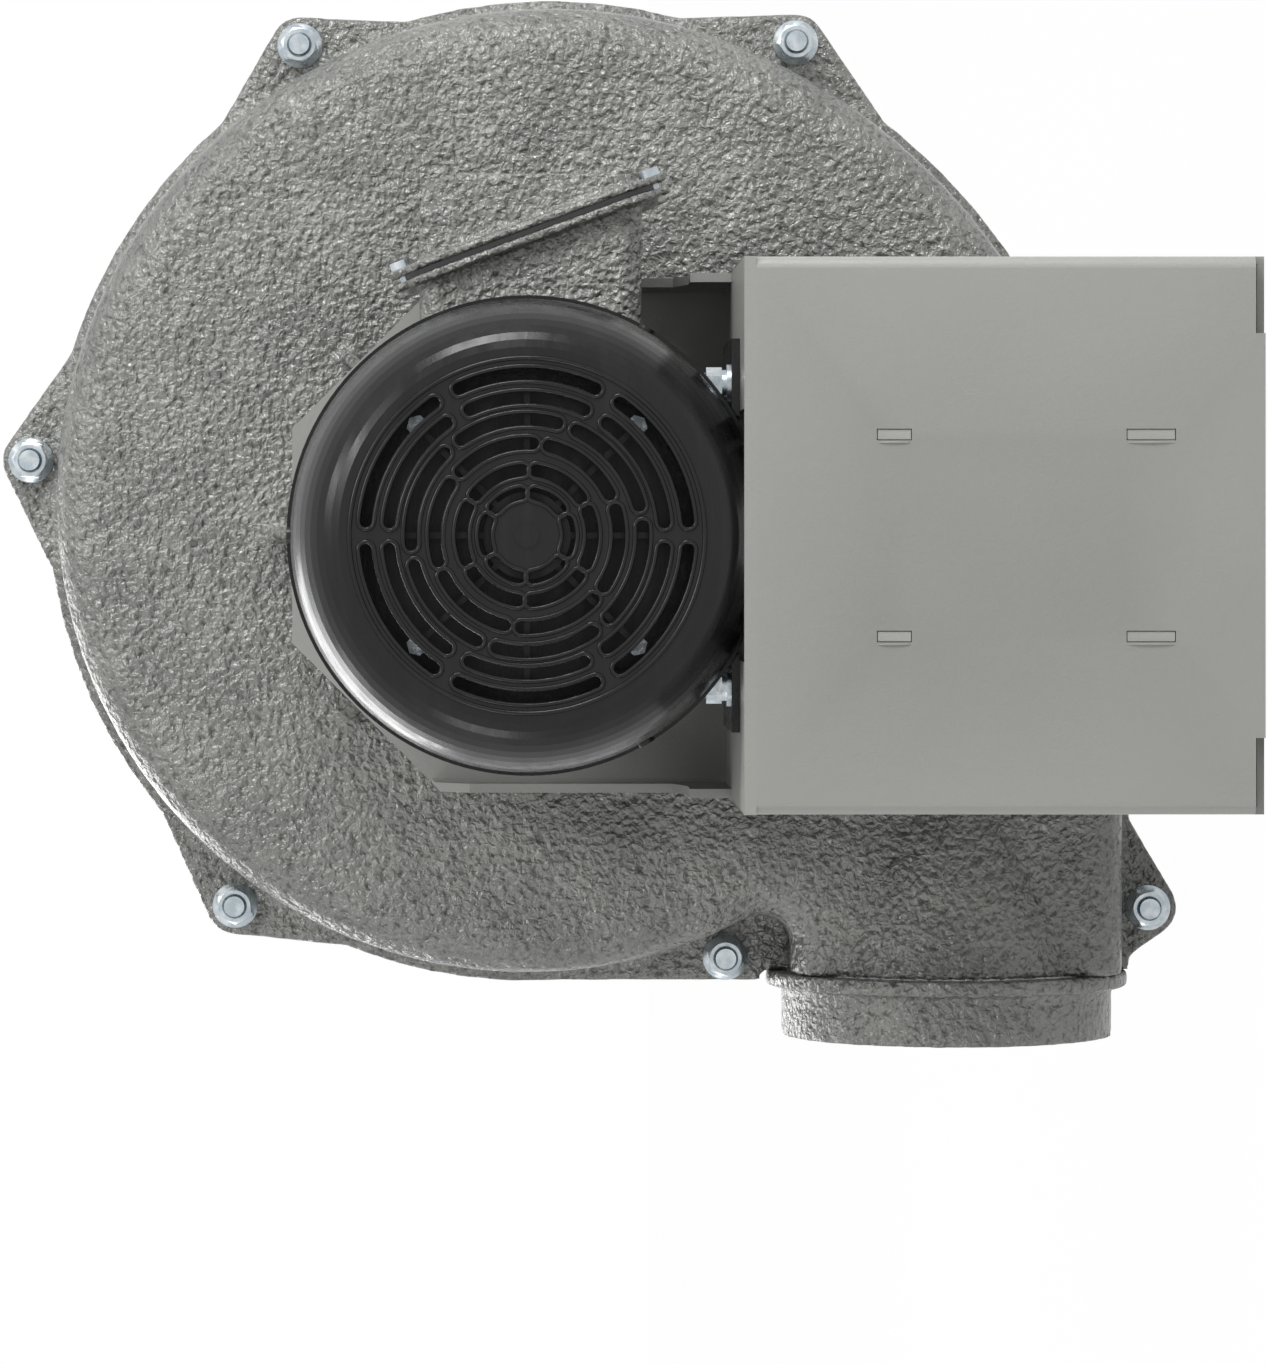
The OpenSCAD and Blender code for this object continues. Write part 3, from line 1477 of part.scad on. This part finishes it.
module conduit_gasket() {
    color([0.05, 0.05, 0.05])
        slanted() difference() {
            slab(box_flange_w - gasket_inset, lid_gasket_t);
            translate([0, 0, -cut]) slab(-box_wall, lid_gasket_t + 2 * cut);
            at_lid_screws() translate([0, 0, -cut])
                cylinder(r = lid_boss_r - gasket_inset, h = lid_gasket_t + 2 * cut);
        }
}

// Dome of the lid: flat on top, with its upper long edge rounded
dome_x = box_high + lid_rise;
dome_h = 46;
dome_edge_r = 18;

module lid_dome(inset) {
    intersection() {
        slanted() translate([0, 0, lid_gasket_t - cut * sign(inset)]) slab(-inset, dome_h);
        translate([0, box_near_y + box_y - inset, axis_z]) rotate([90, 0, 0])
            linear_extrude(box_y - 2 * inset)
                polygon(concat(
                    [[box_root, -box_down - cut], [dome_x - inset, -box_down - cut]],
                    arc_points([dome_x - dome_edge_r, box_up - dome_edge_r], dome_edge_r - inset, 0, 90),
                    [[box_root, box_up - inset]]
                ));
    }
}

module conduit_lid() {
    color(cast_grey)
        difference() {
            union() {
                slanted_flange(lid_gasket_t);
                lid_dome(0);
            }
            lid_dome(box_wall);
            slanted() at_lid_screws() translate([0, 0, lid_gasket_t - cut])
                cylinder(r = lid_screw_r + hole_gap, h = box_flange_t + 2 * cut);
        }
}

module lid_screws() {
    color(zinc)
        slanted() at_lid_screws() {
            translate([0, 0, -box_flange_t]) cylinder(r = lid_screw_r, h = 2 * box_flange_t + lid_gasket_t + cut);
            translate([0, 0, lid_gasket_t + box_flange_t]) cylinder(r = lid_head_r, h = lid_head_h);
        }
}

block_h = 14;
block_len = 60;
block_w = 16;
block_low = 40;
posts_n = 5;
post_r = 2.5;
post_h = 4;

module terminal_block() {
    color([0.15, 0.13, 0.1])
        translate([box_root + box_wall, box_mid_y - block_len / 2, axis_z - block_low]) {
            cube([block_h, block_len, block_w]);
            for (i = [0:posts_n - 1])
                translate([block_h, block_len * (i + 1 / 2) / posts_n, block_w / 2])
                    rotate([0, 90, 0]) cylinder(r = post_r, h = post_h);
        }
}

housing_drive_half();
housing_inlet_half();
housing_gasket();
outlet_collar();
inlet_collar();
inlet_cone();
inlet_screws();
housing_bolts();
housing_nuts();
support_plate();
plate_bolts();
pedestal_shell();
pedestal_top();
pedestal_webs();
shaft_seal_ring();
seal_ring_screws();
wheel_hub();
wheel_backplate();
wheel_blades();
wheel_shroud();
wheel_rivets();
hub_setscrews();
shaft_key();
motor_shaft();
rotor_core();
rotor_end_rings();
bearing_inner_races();
bearing_balls();
bearing_outer_races();
cooling_fan();
motor_frame();
front_bell();
rear_bell();
through_bolts();
stator_core();
stator_windings();
motor_base();
foot_bolts();
foot_washers();
foot_nuts();
fan_cowl();
cowl_screws();
conduit_box();
conduit_gasket();
conduit_lid();
lid_screws();
terminal_block();
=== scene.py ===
"""Looks, camera and light for the spark-resistant blower. Metres, in the CAD's own frame."""
import json
from math import cos, pi, radians, sin

import bmesh
import bpy
from mathutils import Matrix, Vector


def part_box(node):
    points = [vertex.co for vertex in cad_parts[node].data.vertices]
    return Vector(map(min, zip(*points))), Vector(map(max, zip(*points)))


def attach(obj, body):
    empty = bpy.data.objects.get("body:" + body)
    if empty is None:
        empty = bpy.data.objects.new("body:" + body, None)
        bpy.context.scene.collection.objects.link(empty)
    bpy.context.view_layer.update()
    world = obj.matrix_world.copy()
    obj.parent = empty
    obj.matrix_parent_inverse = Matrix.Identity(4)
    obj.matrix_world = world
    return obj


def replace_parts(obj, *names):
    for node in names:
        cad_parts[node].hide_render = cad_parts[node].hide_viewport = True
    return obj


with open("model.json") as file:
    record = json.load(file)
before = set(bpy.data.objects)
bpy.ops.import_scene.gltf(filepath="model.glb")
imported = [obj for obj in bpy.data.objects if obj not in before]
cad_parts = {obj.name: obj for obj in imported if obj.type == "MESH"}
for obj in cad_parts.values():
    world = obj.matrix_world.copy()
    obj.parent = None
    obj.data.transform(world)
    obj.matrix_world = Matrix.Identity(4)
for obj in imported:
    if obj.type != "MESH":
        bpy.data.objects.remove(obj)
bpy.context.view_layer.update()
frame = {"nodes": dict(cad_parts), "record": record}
nodes = frame["nodes"]
scene = bpy.context.scene

MM = 0.001

# Places the CAD gives
AXIS_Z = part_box("inlet_collar")[0][2] / 2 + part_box("inlet_collar")[1][2] / 2
COWL_FACE_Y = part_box("fan_cowl")[0][1]

# Camera: level with the shaft, looking along it, with +X up in the picture
IMAGE_W = 1267
IMAGE_H = 1364
CAMERA_Y = -2.474
LENS = 152.55
SENSOR = 36
SHAFT_PX = (527, 535.5)


def make_camera():
    data = bpy.data.cameras.new("camera")
    data.sensor_width = SENSOR
    data.lens = LENS
    data.shift_x = (IMAGE_W / 2 - SHAFT_PX[0]) / IMAGE_H
    data.shift_y = (SHAFT_PX[1] - IMAGE_H / 2) / IMAGE_H
    data.clip_start = 0.1
    data.clip_end = 60
    camera = bpy.data.objects.new("camera", data)
    right, up, back = Vector((0, 0, -1)), Vector((1, 0, 0)), Vector((0, -1, 0))
    turn = Matrix((right, up, back)).transposed()
    camera.matrix_world = Matrix.Translation((0, CAMERA_Y, AXIS_Z)) @ turn.to_4x4()
    scene.collection.objects.link(camera)
    scene.camera = camera


# Small helpers for node materials
class Shader:
    """A node material with a Principled BSDF and short calls for its texture nodes."""

    def __init__(self, name):
        self.material = bpy.data.materials.new(name)
        self.material.use_nodes = True
        self.tree = self.material.node_tree
        self.bsdf = self.tree.nodes["Principled BSDF"]
        self.coords = self.add("ShaderNodeTexCoord").outputs["Object"]

    def add(self, kind, **settings):
        node = self.tree.nodes.new(kind)
        for key, value in settings.items():
            setattr(node, key, value)
        return node

    def join(self, source, target):
        self.tree.links.new(source, target)

    def stretched(self, scale):
        mapping = self.add("ShaderNodeMapping")
        mapping.inputs["Scale"].default_value = scale
        self.join(self.coords, mapping.inputs["Vector"])
        return mapping.outputs["Vector"]

    def noise(self, scale, detail=3, distortion=0, stretch=None):
        node = self.add("ShaderNodeTexNoise")
        node.inputs["Scale"].default_value = scale
        node.inputs["Detail"].default_value = detail
        node.inputs["Distortion"].default_value = distortion
        self.join(self.stretched(stretch) if stretch else self.coords, node.inputs["Vector"])
        return node.outputs["Fac"]

    def cells(self, scale):
        node = self.add("ShaderNodeTexVoronoi", feature="SMOOTH_F1")
        node.inputs["Scale"].default_value = scale
        self.join(self.coords, node.inputs["Vector"])
        return node.outputs["Distance"]

    def ramp(self, factor, *stops):
        node = self.add("ShaderNodeValToRGB")
        steps = node.color_ramp.elements
        while len(steps) < len(stops):
            steps.new(0.5)
        for step, (place, value) in zip(steps, stops):
            step.position = place
            step.color = (*value, 1) if isinstance(value, tuple) else (value, value, value, 1)
        self.join(factor, node.inputs["Fac"])
        return node.outputs["Color"]

    def mix(self, factor, a, b):
        node = self.add("ShaderNodeMix", data_type="RGBA")
        self.join(factor, node.inputs["Factor"])
        for source, socket in ((a, node.inputs["A"]), (b, node.inputs["B"])):
            if isinstance(source, tuple):
                socket.default_value = (*source, 1)
            else:
                self.join(source, socket)
        return node.outputs["Result"]

    def sum(self, a, b, share=1.0):
        node = self.add("ShaderNodeMath", operation="MULTIPLY_ADD")
        self.join(b, node.inputs[0])
        node.inputs[1].default_value = share
        self.join(a, node.inputs[2])
        return node.outputs["Value"]

    # Pointiness mask of sharp edges, used to paint a highlight on them
    def edges(self, low=0.5, high=0.62):
        node = self.add("ShaderNodeNewGeometry")
        return self.ramp(node.outputs["Pointiness"], (low, 0), (high, 1))

    def colour(self, source):
        self.join(source, self.bsdf.inputs["Base Color"])

    def roughness(self, source):
        self.join(source, self.bsdf.inputs["Roughness"])

    def bump(self, height, depth, strength=1.0):
        node = self.add("ShaderNodeBump")
        node.inputs["Distance"].default_value = depth
        node.inputs["Strength"].default_value = strength
        self.join(height, node.inputs["Height"])
        self.join(node.outputs["Normal"], self.bsdf.inputs["Normal"])
        return node.outputs["Normal"]

    def set(self, **values):
        for key, value in values.items():
            self.bsdf.inputs[key.replace("_", " ")].default_value = value


def cast_paint():
    """Grey enamel over a coarse sand casting, with painted shade in the hollows of its grain."""
    s = Shader("cast_paint")
    crumbs = s.noise(330, detail=2.5, distortion=0.4)
    cells = s.cells(300)
    patches = s.noise(26, detail=3)
    lumps = s.noise(90, detail=2)
    tint = s.mix(s.ramp(patches, (0.35, 0), (0.65, 1)), (0.20, 0.203, 0.19), (0.27, 0.272, 0.255))
    # The low places of the crumb grain, the bump's hollows, are painted darker: painted shade in the pits
    pit_shade = s.ramp(crumbs, (0.3, 1), (0.46, 0))
    s.colour(s.mix(pit_shade, tint, (0.1, 0.1, 0.094)))
    s.roughness(s.ramp(patches, (0.3, 0.2), (0.7, 0.32)))
    s.set(Metallic=0.2, IOR=1.55)
    grain = s.sum(crumbs, cells, 0.5)
    s.bump(s.sum(grain, lumps, 0.8), 2.6 * MM, 1.0)
    return s.material


def sheet_paint():
    """Satin grey enamel on sheet steel, with a fine orange peel; its sharp edges and ridges are painted
    lighter, a painted highlight.
    """
    s = Shader("sheet_paint")
    cloud = s.noise(7, detail=2)
    tint = s.mix(s.ramp(cloud, (0.35, 0), (0.65, 1)), (0.255, 0.26, 0.242), (0.29, 0.294, 0.274))
    # Sharp edges and ridges painted a lighter grey by pointiness: painted highlight
    s.colour(s.mix(s.edges(0.52, 0.7), tint, (0.42, 0.42, 0.4)))
    s.roughness(s.ramp(s.noise(60), (0.35, 0.34), (0.65, 0.42)))
    s.bump(s.sum(s.noise(900, detail=1), s.noise(240, detail=1), 0.8), 0.12 * MM, 0.8)
    return s.material


def black_gloss():
    """Black enamel on the motor's castings and sheet feet."""
    s = Shader("black_gloss")
    s.colour(s.mix(s.ramp(s.noise(45), (0.4, 0), (0.62, 1)), (0.011, 0.011, 0.012), (0.022, 0.022, 0.023)))
    s.roughness(s.ramp(s.noise(130), (0.35, 0.24), (0.7, 0.36)))
    s.bump(s.noise(500, detail=2), 0.15 * MM, 0.6)
    s.set(IOR=1.4)
    return s.material


def black_plastic():
    """Moulded cover, glossy, with fine scuffs that run across it."""
    s = Shader("black_plastic")
    scuffs = s.ramp(s.noise(70, detail=6, stretch=(0.05, 1, 1)), (0.5, 0), (0.75, 1))
    s.colour(s.mix(scuffs, (0.008, 0.008, 0.009), (0.016, 0.016, 0.017)))
    s.roughness(s.ramp(s.noise(160, detail=5, stretch=(0.04, 1, 1)), (0.35, 0.2), (0.7, 0.34)))
    s.bump(s.noise(800, detail=2), 0.05 * MM, 0.5)
    s.set(IOR=1.36)
    return s.material


def zinc():
    """Bluish zinc plate, lightly stained."""
    s = Shader("zinc")
    s.colour(s.mix(s.ramp(s.noise(180), (0.4, 0), (0.65, 1)), (0.42, 0.48, 0.52), (0.62, 0.66, 0.68)))
    s.roughness(s.ramp(s.noise(320), (0.35, 0.22), (0.7, 0.42)))
    s.bump(s.noise(900, detail=2), 0.08 * MM, 0.6)
    s.set(Metallic=0.9)
    return s.material


def bare_metal(name, low, high, rough, stretch):
    """Uncoated metal with fine turning or milling marks."""
    s = Shader(name)
    s.colour(s.mix(s.noise(120, detail=4), low, high))
    s.roughness(s.ramp(s.noise(300, stretch=stretch), (0.3, rough - 0.08), (0.7, rough + 0.1)))
    s.bump(s.noise(700, detail=2, stretch=stretch), 0.08 * MM, 0.6)
    s.set(Metallic=1.0)
    return s.material


def copper():
    """Enamelled windings: fine wires round the shaft's direction."""
    s = Shader("copper")
    wires = s.noise(900, detail=1, stretch=(1, 0.12, 1))
    s.colour(s.mix(s.ramp(wires, (0.4, 0), (0.6, 1)), (0.2, 0.07, 0.03), (0.5, 0.2, 0.09)))
    s.roughness(s.ramp(wires, (0.4, 0.3), (0.6, 0.5)))
    s.bump(wires, 0.5 * MM, 0.8)
    s.set(Metallic=0.6)
    return s.material


def dull(name, low, high, rough, scale):
    """Gasket sheet and moulded phenolic."""
    s = Shader(name)
    s.colour(s.mix(s.noise(scale, detail=4), low, high))
    s.roughness(s.ramp(s.noise(scale * 2), (0.3, rough - 0.08), (0.7, rough + 0.08)))
    s.bump(s.noise(scale * 3), 0.1 * MM, 0.6)
    return s.material


MATERIALS = {
    "cast_paint": cast_paint(),
    "sheet_paint": sheet_paint(),
    "black_gloss": black_gloss(),
    "black_plastic": black_plastic(),
    "zinc": zinc(),
    "aluminium": bare_metal("aluminium", (0.56, 0.56, 0.56), (0.7, 0.7, 0.69), 0.34, (1, 1, 0.15)),
    "bronze": bare_metal("bronze", (0.45, 0.3, 0.12), (0.6, 0.42, 0.2), 0.3, (1, 0.1, 1)),
    "steel": bare_metal("steel", (0.4, 0.4, 0.42), (0.56, 0.56, 0.57), 0.28, (1, 0.1, 1)),
    "copper": copper(),
    "gasket": dull("gasket", (0.012, 0.012, 0.012), (0.03, 0.03, 0.03), 0.6, 300),
    "phenolic": dull("phenolic", (0.04, 0.03, 0.02), (0.09, 0.07, 0.05), 0.45, 200),
}


def dress_cad():
    for part in frame["record"]["subparts"]:
        mesh = nodes[part["node"]].data
        mesh.materials.clear()
        mesh.materials.append(MATERIALS[part["material_slot"]])


# Pieces in mesh code
def add_piece(name, mesh, slot, body="stand"):
    piece = bpy.data.objects.new(name, mesh)
    scene.collection.objects.link(piece)
    mesh.materials.clear()
    mesh.materials.append(MATERIALS[slot])
    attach(piece, body)
    return piece


def applied(piece, *modifiers):
    """Runs modifiers on a piece and keeps the resulting mesh."""
    for kind, settings in modifiers:
        modifier = piece.modifiers.new(kind, kind)
        for key, value in settings.items():
            setattr(modifier, key, value)
    shown = piece.evaluated_get(bpy.context.evaluated_depsgraph_get())
    mesh = bpy.data.meshes.new_from_object(shown)
    piece.modifiers.clear()
    piece.data = mesh
    return piece


# Castings: size of the surface's cells and rounds of smoothing
CASTINGS = {
    "housing_drive_half": (1.9 * MM, 4),
    "housing_inlet_half": (1.9 * MM, 4),
    "outlet_collar": (1.5 * MM, 3),
    "inlet_collar": (1.5 * MM, 3),
    "conduit_box": (1.1 * MM, 4),
    "conduit_lid": (1.1 * MM, 4),
}
GRAIN_SIZE = 7 * MM
GRAIN_DEPTH = 0.5 * MM


def cast_piece(node, voxel, rounds):
    """A casting's own surface: the solid's edges and corners rounded off as sand leaves them."""
    piece = add_piece("cast_" + node, nodes[node].data.copy(), "cast_paint")
    grain = bpy.data.textures.new("grain_" + node, "CLOUDS")
    grain.noise_scale = GRAIN_SIZE
    applied(
        piece,
        ("REMESH", {"mode": "VOXEL", "voxel_size": voxel, "use_smooth_shade": True}),
        ("SMOOTH", {"factor": 0.5, "iterations": rounds}),
        (
            "DISPLACE",
            {"texture": grain, "texture_coords": "LOCAL", "strength": GRAIN_DEPTH, "mid_level": 0.5},
        ),
    )
    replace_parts(piece, node)
    return piece


def make_castings():
    for node, (voxel, rounds) in CASTINGS.items():
        cast_piece(node, voxel, rounds)


def smooth(mesh):
    for face in mesh.polygons:
        face.use_smooth = True


def swept_ring(bm, path, radius, sides, middle):
    """A closed bead: a round section carried along a closed path that lies square to Y."""
    rings = []
    count = len(path)
    for i, point in enumerate(path):
        along = (path[(i + 1) % count] - path[i - 1]).normalized()
        out = along.cross(Vector((0, 1, 0)))
        turns = [2 * pi * k / sides for k in range(sides)]
        sides_at = [cos(t) * out + sin(t) * Vector((0, 1, 0)) for t in turns]
        rings.append([bm.verts.new(middle + point + radius * way) for way in sides_at])
    for i in range(count):
        for k in range(sides):
            after = rings[(i + 1) % count]
            bm.faces.new((rings[i][k], after[k], after[(k + 1) % sides], rings[i][(k + 1) % sides]))


# Grille: ring radii, slot starts and spans as the solid cover has them, seen from the cover's side
SLOT_RADII = [66 * MM, 56.3 * MM, 47.4 * MM, 37.6 * MM, 26.7 * MM, 17.3 * MM]
SLOT_STARTS = [65, 65.5, 75, 86.5, 94.5, 98.5]
SLOT_SPANS = [50, 49, 49.5, 49.5, 47.5, 41]
SLOTS_PER_RING = 6
BEAD_OFFSET = 3.3 * MM
BEAD_R = 0.95 * MM
BEAD_RISE = 0.75 * MM
BEAD_SIDES = 8
FACE_RING_R = 72.6 * MM
FACE_RING_BEAD_R = 1.0 * MM
FACE_RING_STEPS = 120


def on_face(radius, angle):
    """A point of the cover's face; angles run anticlockwise from the side that faces the floor."""
    turn = radians(angle - 90)
    return Vector((radius * cos(turn), 0, radius * sin(turn)))


def slot_path(radius, start, span):
    arc_steps, end_steps = 14, 8
    points = [on_face(radius + BEAD_OFFSET, start + span * i / arc_steps) for i in range(arc_steps + 1)]
    for end, first in ((start + span, 0), (start, 180)):
        middle = on_face(radius, end)
        turns = [end + first + 180 * i / end_steps for i in range(1, end_steps)]
        points += [middle + on_face(BEAD_OFFSET, turn) for turn in turns]
        if first == 0:
            inner = radius - BEAD_OFFSET
            points += [on_face(inner, start + span * (1 - i / arc_steps)) for i in range(arc_steps + 1)]
    return points


def make_grille():
    bm = bmesh.new()
    middle = Vector((0, COWL_FACE_Y + BEAD_RISE, AXIS_Z))
    for radius, start, span in zip(SLOT_RADII, SLOT_STARTS, SLOT_SPANS):
        for i in range(SLOTS_PER_RING):
            path = slot_path(radius, start + 360 * i / SLOTS_PER_RING, span)
            swept_ring(bm, path, BEAD_R, BEAD_SIDES, middle)
    circle = [on_face(FACE_RING_R, 360 * k / FACE_RING_STEPS) for k in range(FACE_RING_STEPS)]
    swept_ring(bm, circle, FACE_RING_BEAD_R, BEAD_SIDES, middle)
    mesh = bpy.data.meshes.new("grille_beads")
    bmesh.ops.recalc_face_normals(bm, faces=bm.faces)
    bm.to_mesh(mesh)
    bm.free()
    smooth(mesh)
    add_piece("grille_beads", mesh, "black_plastic")


# Flange nuts: flange, hex and height as in the solids, then a free bore, each one's turn and finer edges
NUT_FLANGE_R = 10.4 * MM
NUT_AF = 15 * MM
NUT_H = 8 * MM
NUT_BORE = 4.8 * MM
NUT_TURNS = (12, 40, 3, 26, 51, 18, 33)
NUT_SIDES = 72
NUT_ROUND = 0.5 * MM
NUT_RIM_H = 1.1 * MM
NUT_FOOT_H = 2.9 * MM
NUT_FILLET = 0.3 * MM
NUT_TOP_INSET = 0.2 * MM
NUT_COUNTERSINK = 0.9 * MM
NUT_CORNER_SHARE = 0.565
NUT_CHAMFER_SLOPE = 0.6


def hex_radius(turn):
    """Distance from the middle to the side of the hexagon, its corners slightly worn."""
    return min(NUT_AF / 2 / cos((turn % (pi / 3)) - pi / 6), NUT_AF * NUT_CORNER_SHARE)


def nut_rings(turn):
    """Radius and height of each ring's point in one direction, from the seat round to the bore."""
    across = hex_radius(turn)
    flat = NUT_AF / 2 - NUT_TOP_INSET
    return [
        (NUT_BORE, 0),
        (NUT_FLANGE_R, 0),
        (NUT_FLANGE_R, NUT_RIM_H),
        (NUT_FLANGE_R - NUT_ROUND, NUT_RIM_H + NUT_ROUND),
        (across + NUT_ROUND, NUT_FOOT_H),
        (across, NUT_FOOT_H + NUT_FILLET),
        (across, NUT_H - (across - flat) * NUT_CHAMFER_SLOPE),
        (flat, NUT_H),
        (NUT_BORE + NUT_COUNTERSINK, NUT_H),
        (NUT_BORE, NUT_H - NUT_COUNTERSINK),
    ]


def nut_mesh(bm, seat, first):
    rings = []
    for k in range(NUT_SIDES):
        turn = 2 * pi * k / NUT_SIDES
        way = Vector((cos(turn + first), 0, sin(turn + first)))
        rings.append([bm.verts.new(seat + r * way - Vector((0, h, 0))) for r, h in nut_rings(turn)])
    for k in range(NUT_SIDES):
        a, b = rings[k], rings[(k + 1) % NUT_SIDES]
        for i in range(len(a)):
            j = (i + 1) % len(a)
            bm.faces.new((a[i], a[j], b[j], b[i]))


WELD_DISTANCE = 0.01 * MM


def seats(mesh):
    """Where each separate solid of a mesh sits: the middle of its back face, which looks to +Y."""
    bm = bmesh.new()
    bm.from_mesh(mesh)
    bmesh.ops.remove_doubles(bm, verts=bm.verts, dist=WELD_DISTANCE)
    left = set(bm.verts)
    found = []
    while left:
        group, edge = set(), [left.pop()]
        while edge:
            vert = edge.pop()
            group.add(vert)
            near = {e.other_vert(vert) for e in vert.link_edges} & left
            left -= near
            edge += near
        xs, ys, zs = zip(*(v.co for v in group))
        found.append(Vector(((min(xs) + max(xs)) / 2, max(ys), (min(zs) + max(zs)) / 2)))
    bm.free()
    return sorted(found, key=lambda p: (p.x, p.z))


def make_nuts():
    bm = bmesh.new()
    node = nodes["housing_nuts"]
    for seat, turn in zip(seats(node.data), NUT_TURNS):
        nut_mesh(bm, node.matrix_world @ seat, radians(turn))
    mesh = bpy.data.meshes.new("flange_nuts")
    bmesh.ops.recalc_face_normals(bm, faces=bm.faces)
    bm.to_mesh(mesh)
    bm.free()
    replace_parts(add_piece("flange_nuts", mesh, "zinc"), "housing_nuts")


# Paint ridges: runs of enamel along the lower edge of the near panel's slots, places as in the solids
TAB_PLACES = [(37 * MM, 19.5 * MM), (145 * MM, 13.6 * MM)]
WEB_GAP = 82.6 * MM
WEB_T = 4 * MM
RIDGE_DROP = 1.3 * MM
RIDGE_R = 0.6 * MM


def make_ridges():
    bm = bmesh.new()
    panel_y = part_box("pedestal_shell")[0][1]
    for side in (-1, 1):
        for start, length in TAB_PLACES:
            middle = Vector((side * WEB_GAP / 2 - WEB_T / 2 - RIDGE_DROP, panel_y, start + length / 2))
            shape = Matrix.Translation(middle) @ Matrix.Diagonal((RIDGE_R, RIDGE_R, length / 2, 1))
            bmesh.ops.create_uvsphere(bm, u_segments=16, v_segments=24, radius=1, matrix=shape)
    mesh = bpy.data.meshes.new("paint_ridges")
    bm.to_mesh(mesh)
    bm.free()
    smooth(mesh)
    add_piece("paint_ridges", mesh, "sheet_paint")


# Light, floor and backdrop
def seen_directly(tree):
    """1 for camera, glossy and transmission rays, which see the plain white background."""
    path = tree.nodes.new("ShaderNodeLightPath")
    first = tree.nodes.new("ShaderNodeMath")
    first.operation = "MAXIMUM"
    second = tree.nodes.new("ShaderNodeMath")
    second.operation = "MAXIMUM"
    tree.links.new(path.outputs["Is Camera Ray"], first.inputs[0])
    tree.links.new(path.outputs["Is Glossy Ray"], first.inputs[1])
    tree.links.new(first.outputs[0], second.inputs[0])
    tree.links.new(path.outputs["Is Transmission Ray"], second.inputs[1])
    return second.outputs[0]


WORLD_LIGHT = 0.3


def make_world():
    world = bpy.data.worlds.new("studio")
    world.use_nodes = True
    tree = world.node_tree
    light = tree.nodes["Background"]
    light.inputs["Color"].default_value = (1, 1, 1, 1)
    light.inputs["Strength"].default_value = WORLD_LIGHT
    white = tree.nodes.new("ShaderNodeBackground")
    white.inputs["Color"].default_value = (1, 1, 1, 1)
    white.inputs["Strength"].default_value = 1
    mix = tree.nodes.new("ShaderNodeMixShader")
    tree.links.new(seen_directly(tree), mix.inputs["Fac"])
    tree.links.new(light.outputs[0], mix.inputs[1])
    tree.links.new(white.outputs[0], mix.inputs[2])
    tree.links.new(mix.outputs[0], tree.nodes["World Output"].inputs["Surface"])
    scene.world = world


FLOOR_SIZE = 24
FLOOR_DROP = 0.2 * MM
FLOOR_GLOW_SHARE = 0.985


def make_floor():
    bm = bmesh.new()
    bmesh.ops.create_grid(bm, x_segments=1, y_segments=1, size=FLOOR_SIZE / 2)
    mesh = bpy.data.meshes.new("floor")
    bm.to_mesh(mesh)
    bm.free()
    floor = bpy.data.objects.new("floor", mesh)
    floor.location.z = -FLOOR_DROP
    scene.collection.objects.link(floor)
    material = bpy.data.materials.new("floor")
    material.use_nodes = True
    tree = material.node_tree
    tree.nodes["Principled BSDF"].inputs["Base Color"].default_value = (0.7, 0.7, 0.7, 1)
    tree.nodes["Principled BSDF"].inputs["Roughness"].default_value = 0.9
    tree.nodes["Principled BSDF"].inputs["Specular IOR Level"].default_value = 0.1
    glow = tree.nodes.new("ShaderNodeEmission")
    glow.inputs["Color"].default_value = (1, 1, 1, 1)
    glow.inputs["Strength"].default_value = 1
    share = tree.nodes.new("ShaderNodeMath")
    share.operation = "MULTIPLY"
    share.inputs[1].default_value = FLOOR_GLOW_SHARE
    mix = tree.nodes.new("ShaderNodeMixShader")
    tree.links.new(seen_directly(tree), share.inputs[0])
    tree.links.new(share.outputs[0], mix.inputs["Fac"])
    tree.links.new(tree.nodes["Principled BSDF"].outputs[0], mix.inputs[1])
    tree.links.new(glow.outputs[0], mix.inputs[2])
    tree.links.new(mix.outputs[0], tree.nodes["Material Output"].inputs["Surface"])
    mesh.materials.append(material)


# Softboxes: place, watts, width and height
SOFTBOXES = {
    "top_box": ((1.9, -1.0, 0.7), 30, 0.7, 0.9),
    "left_box": ((0.7, -1.4, 2.1), 22, 0.5, 1.2),
    "back_box": ((-0.9, 1.9, 1.5), 26, 1.4, 1.4),
    "low_box": ((-2.0, -0.9, 0.8), 7, 0.9, 0.6),
}


def make_lights():
    aim = Vector((0, 0.05, AXIS_Z))
    for name, (place, watts, width, height) in SOFTBOXES.items():
        data = bpy.data.lights.new(name, "AREA")
        data.shape = "RECTANGLE"
        data.size = width
        data.size_y = height
        data.energy = watts
        lamp = bpy.data.objects.new(name, data)
        lamp.location = place
        lamp.rotation_euler = (aim - Vector(place)).to_track_quat("-Z", "Y").to_euler()
        scene.collection.objects.link(lamp)


scene.view_settings.view_transform = "Standard"
make_camera()
dress_cad()
make_castings()
make_grille()
make_nuts()
make_ridges()
make_world()
make_floor()
make_lights()
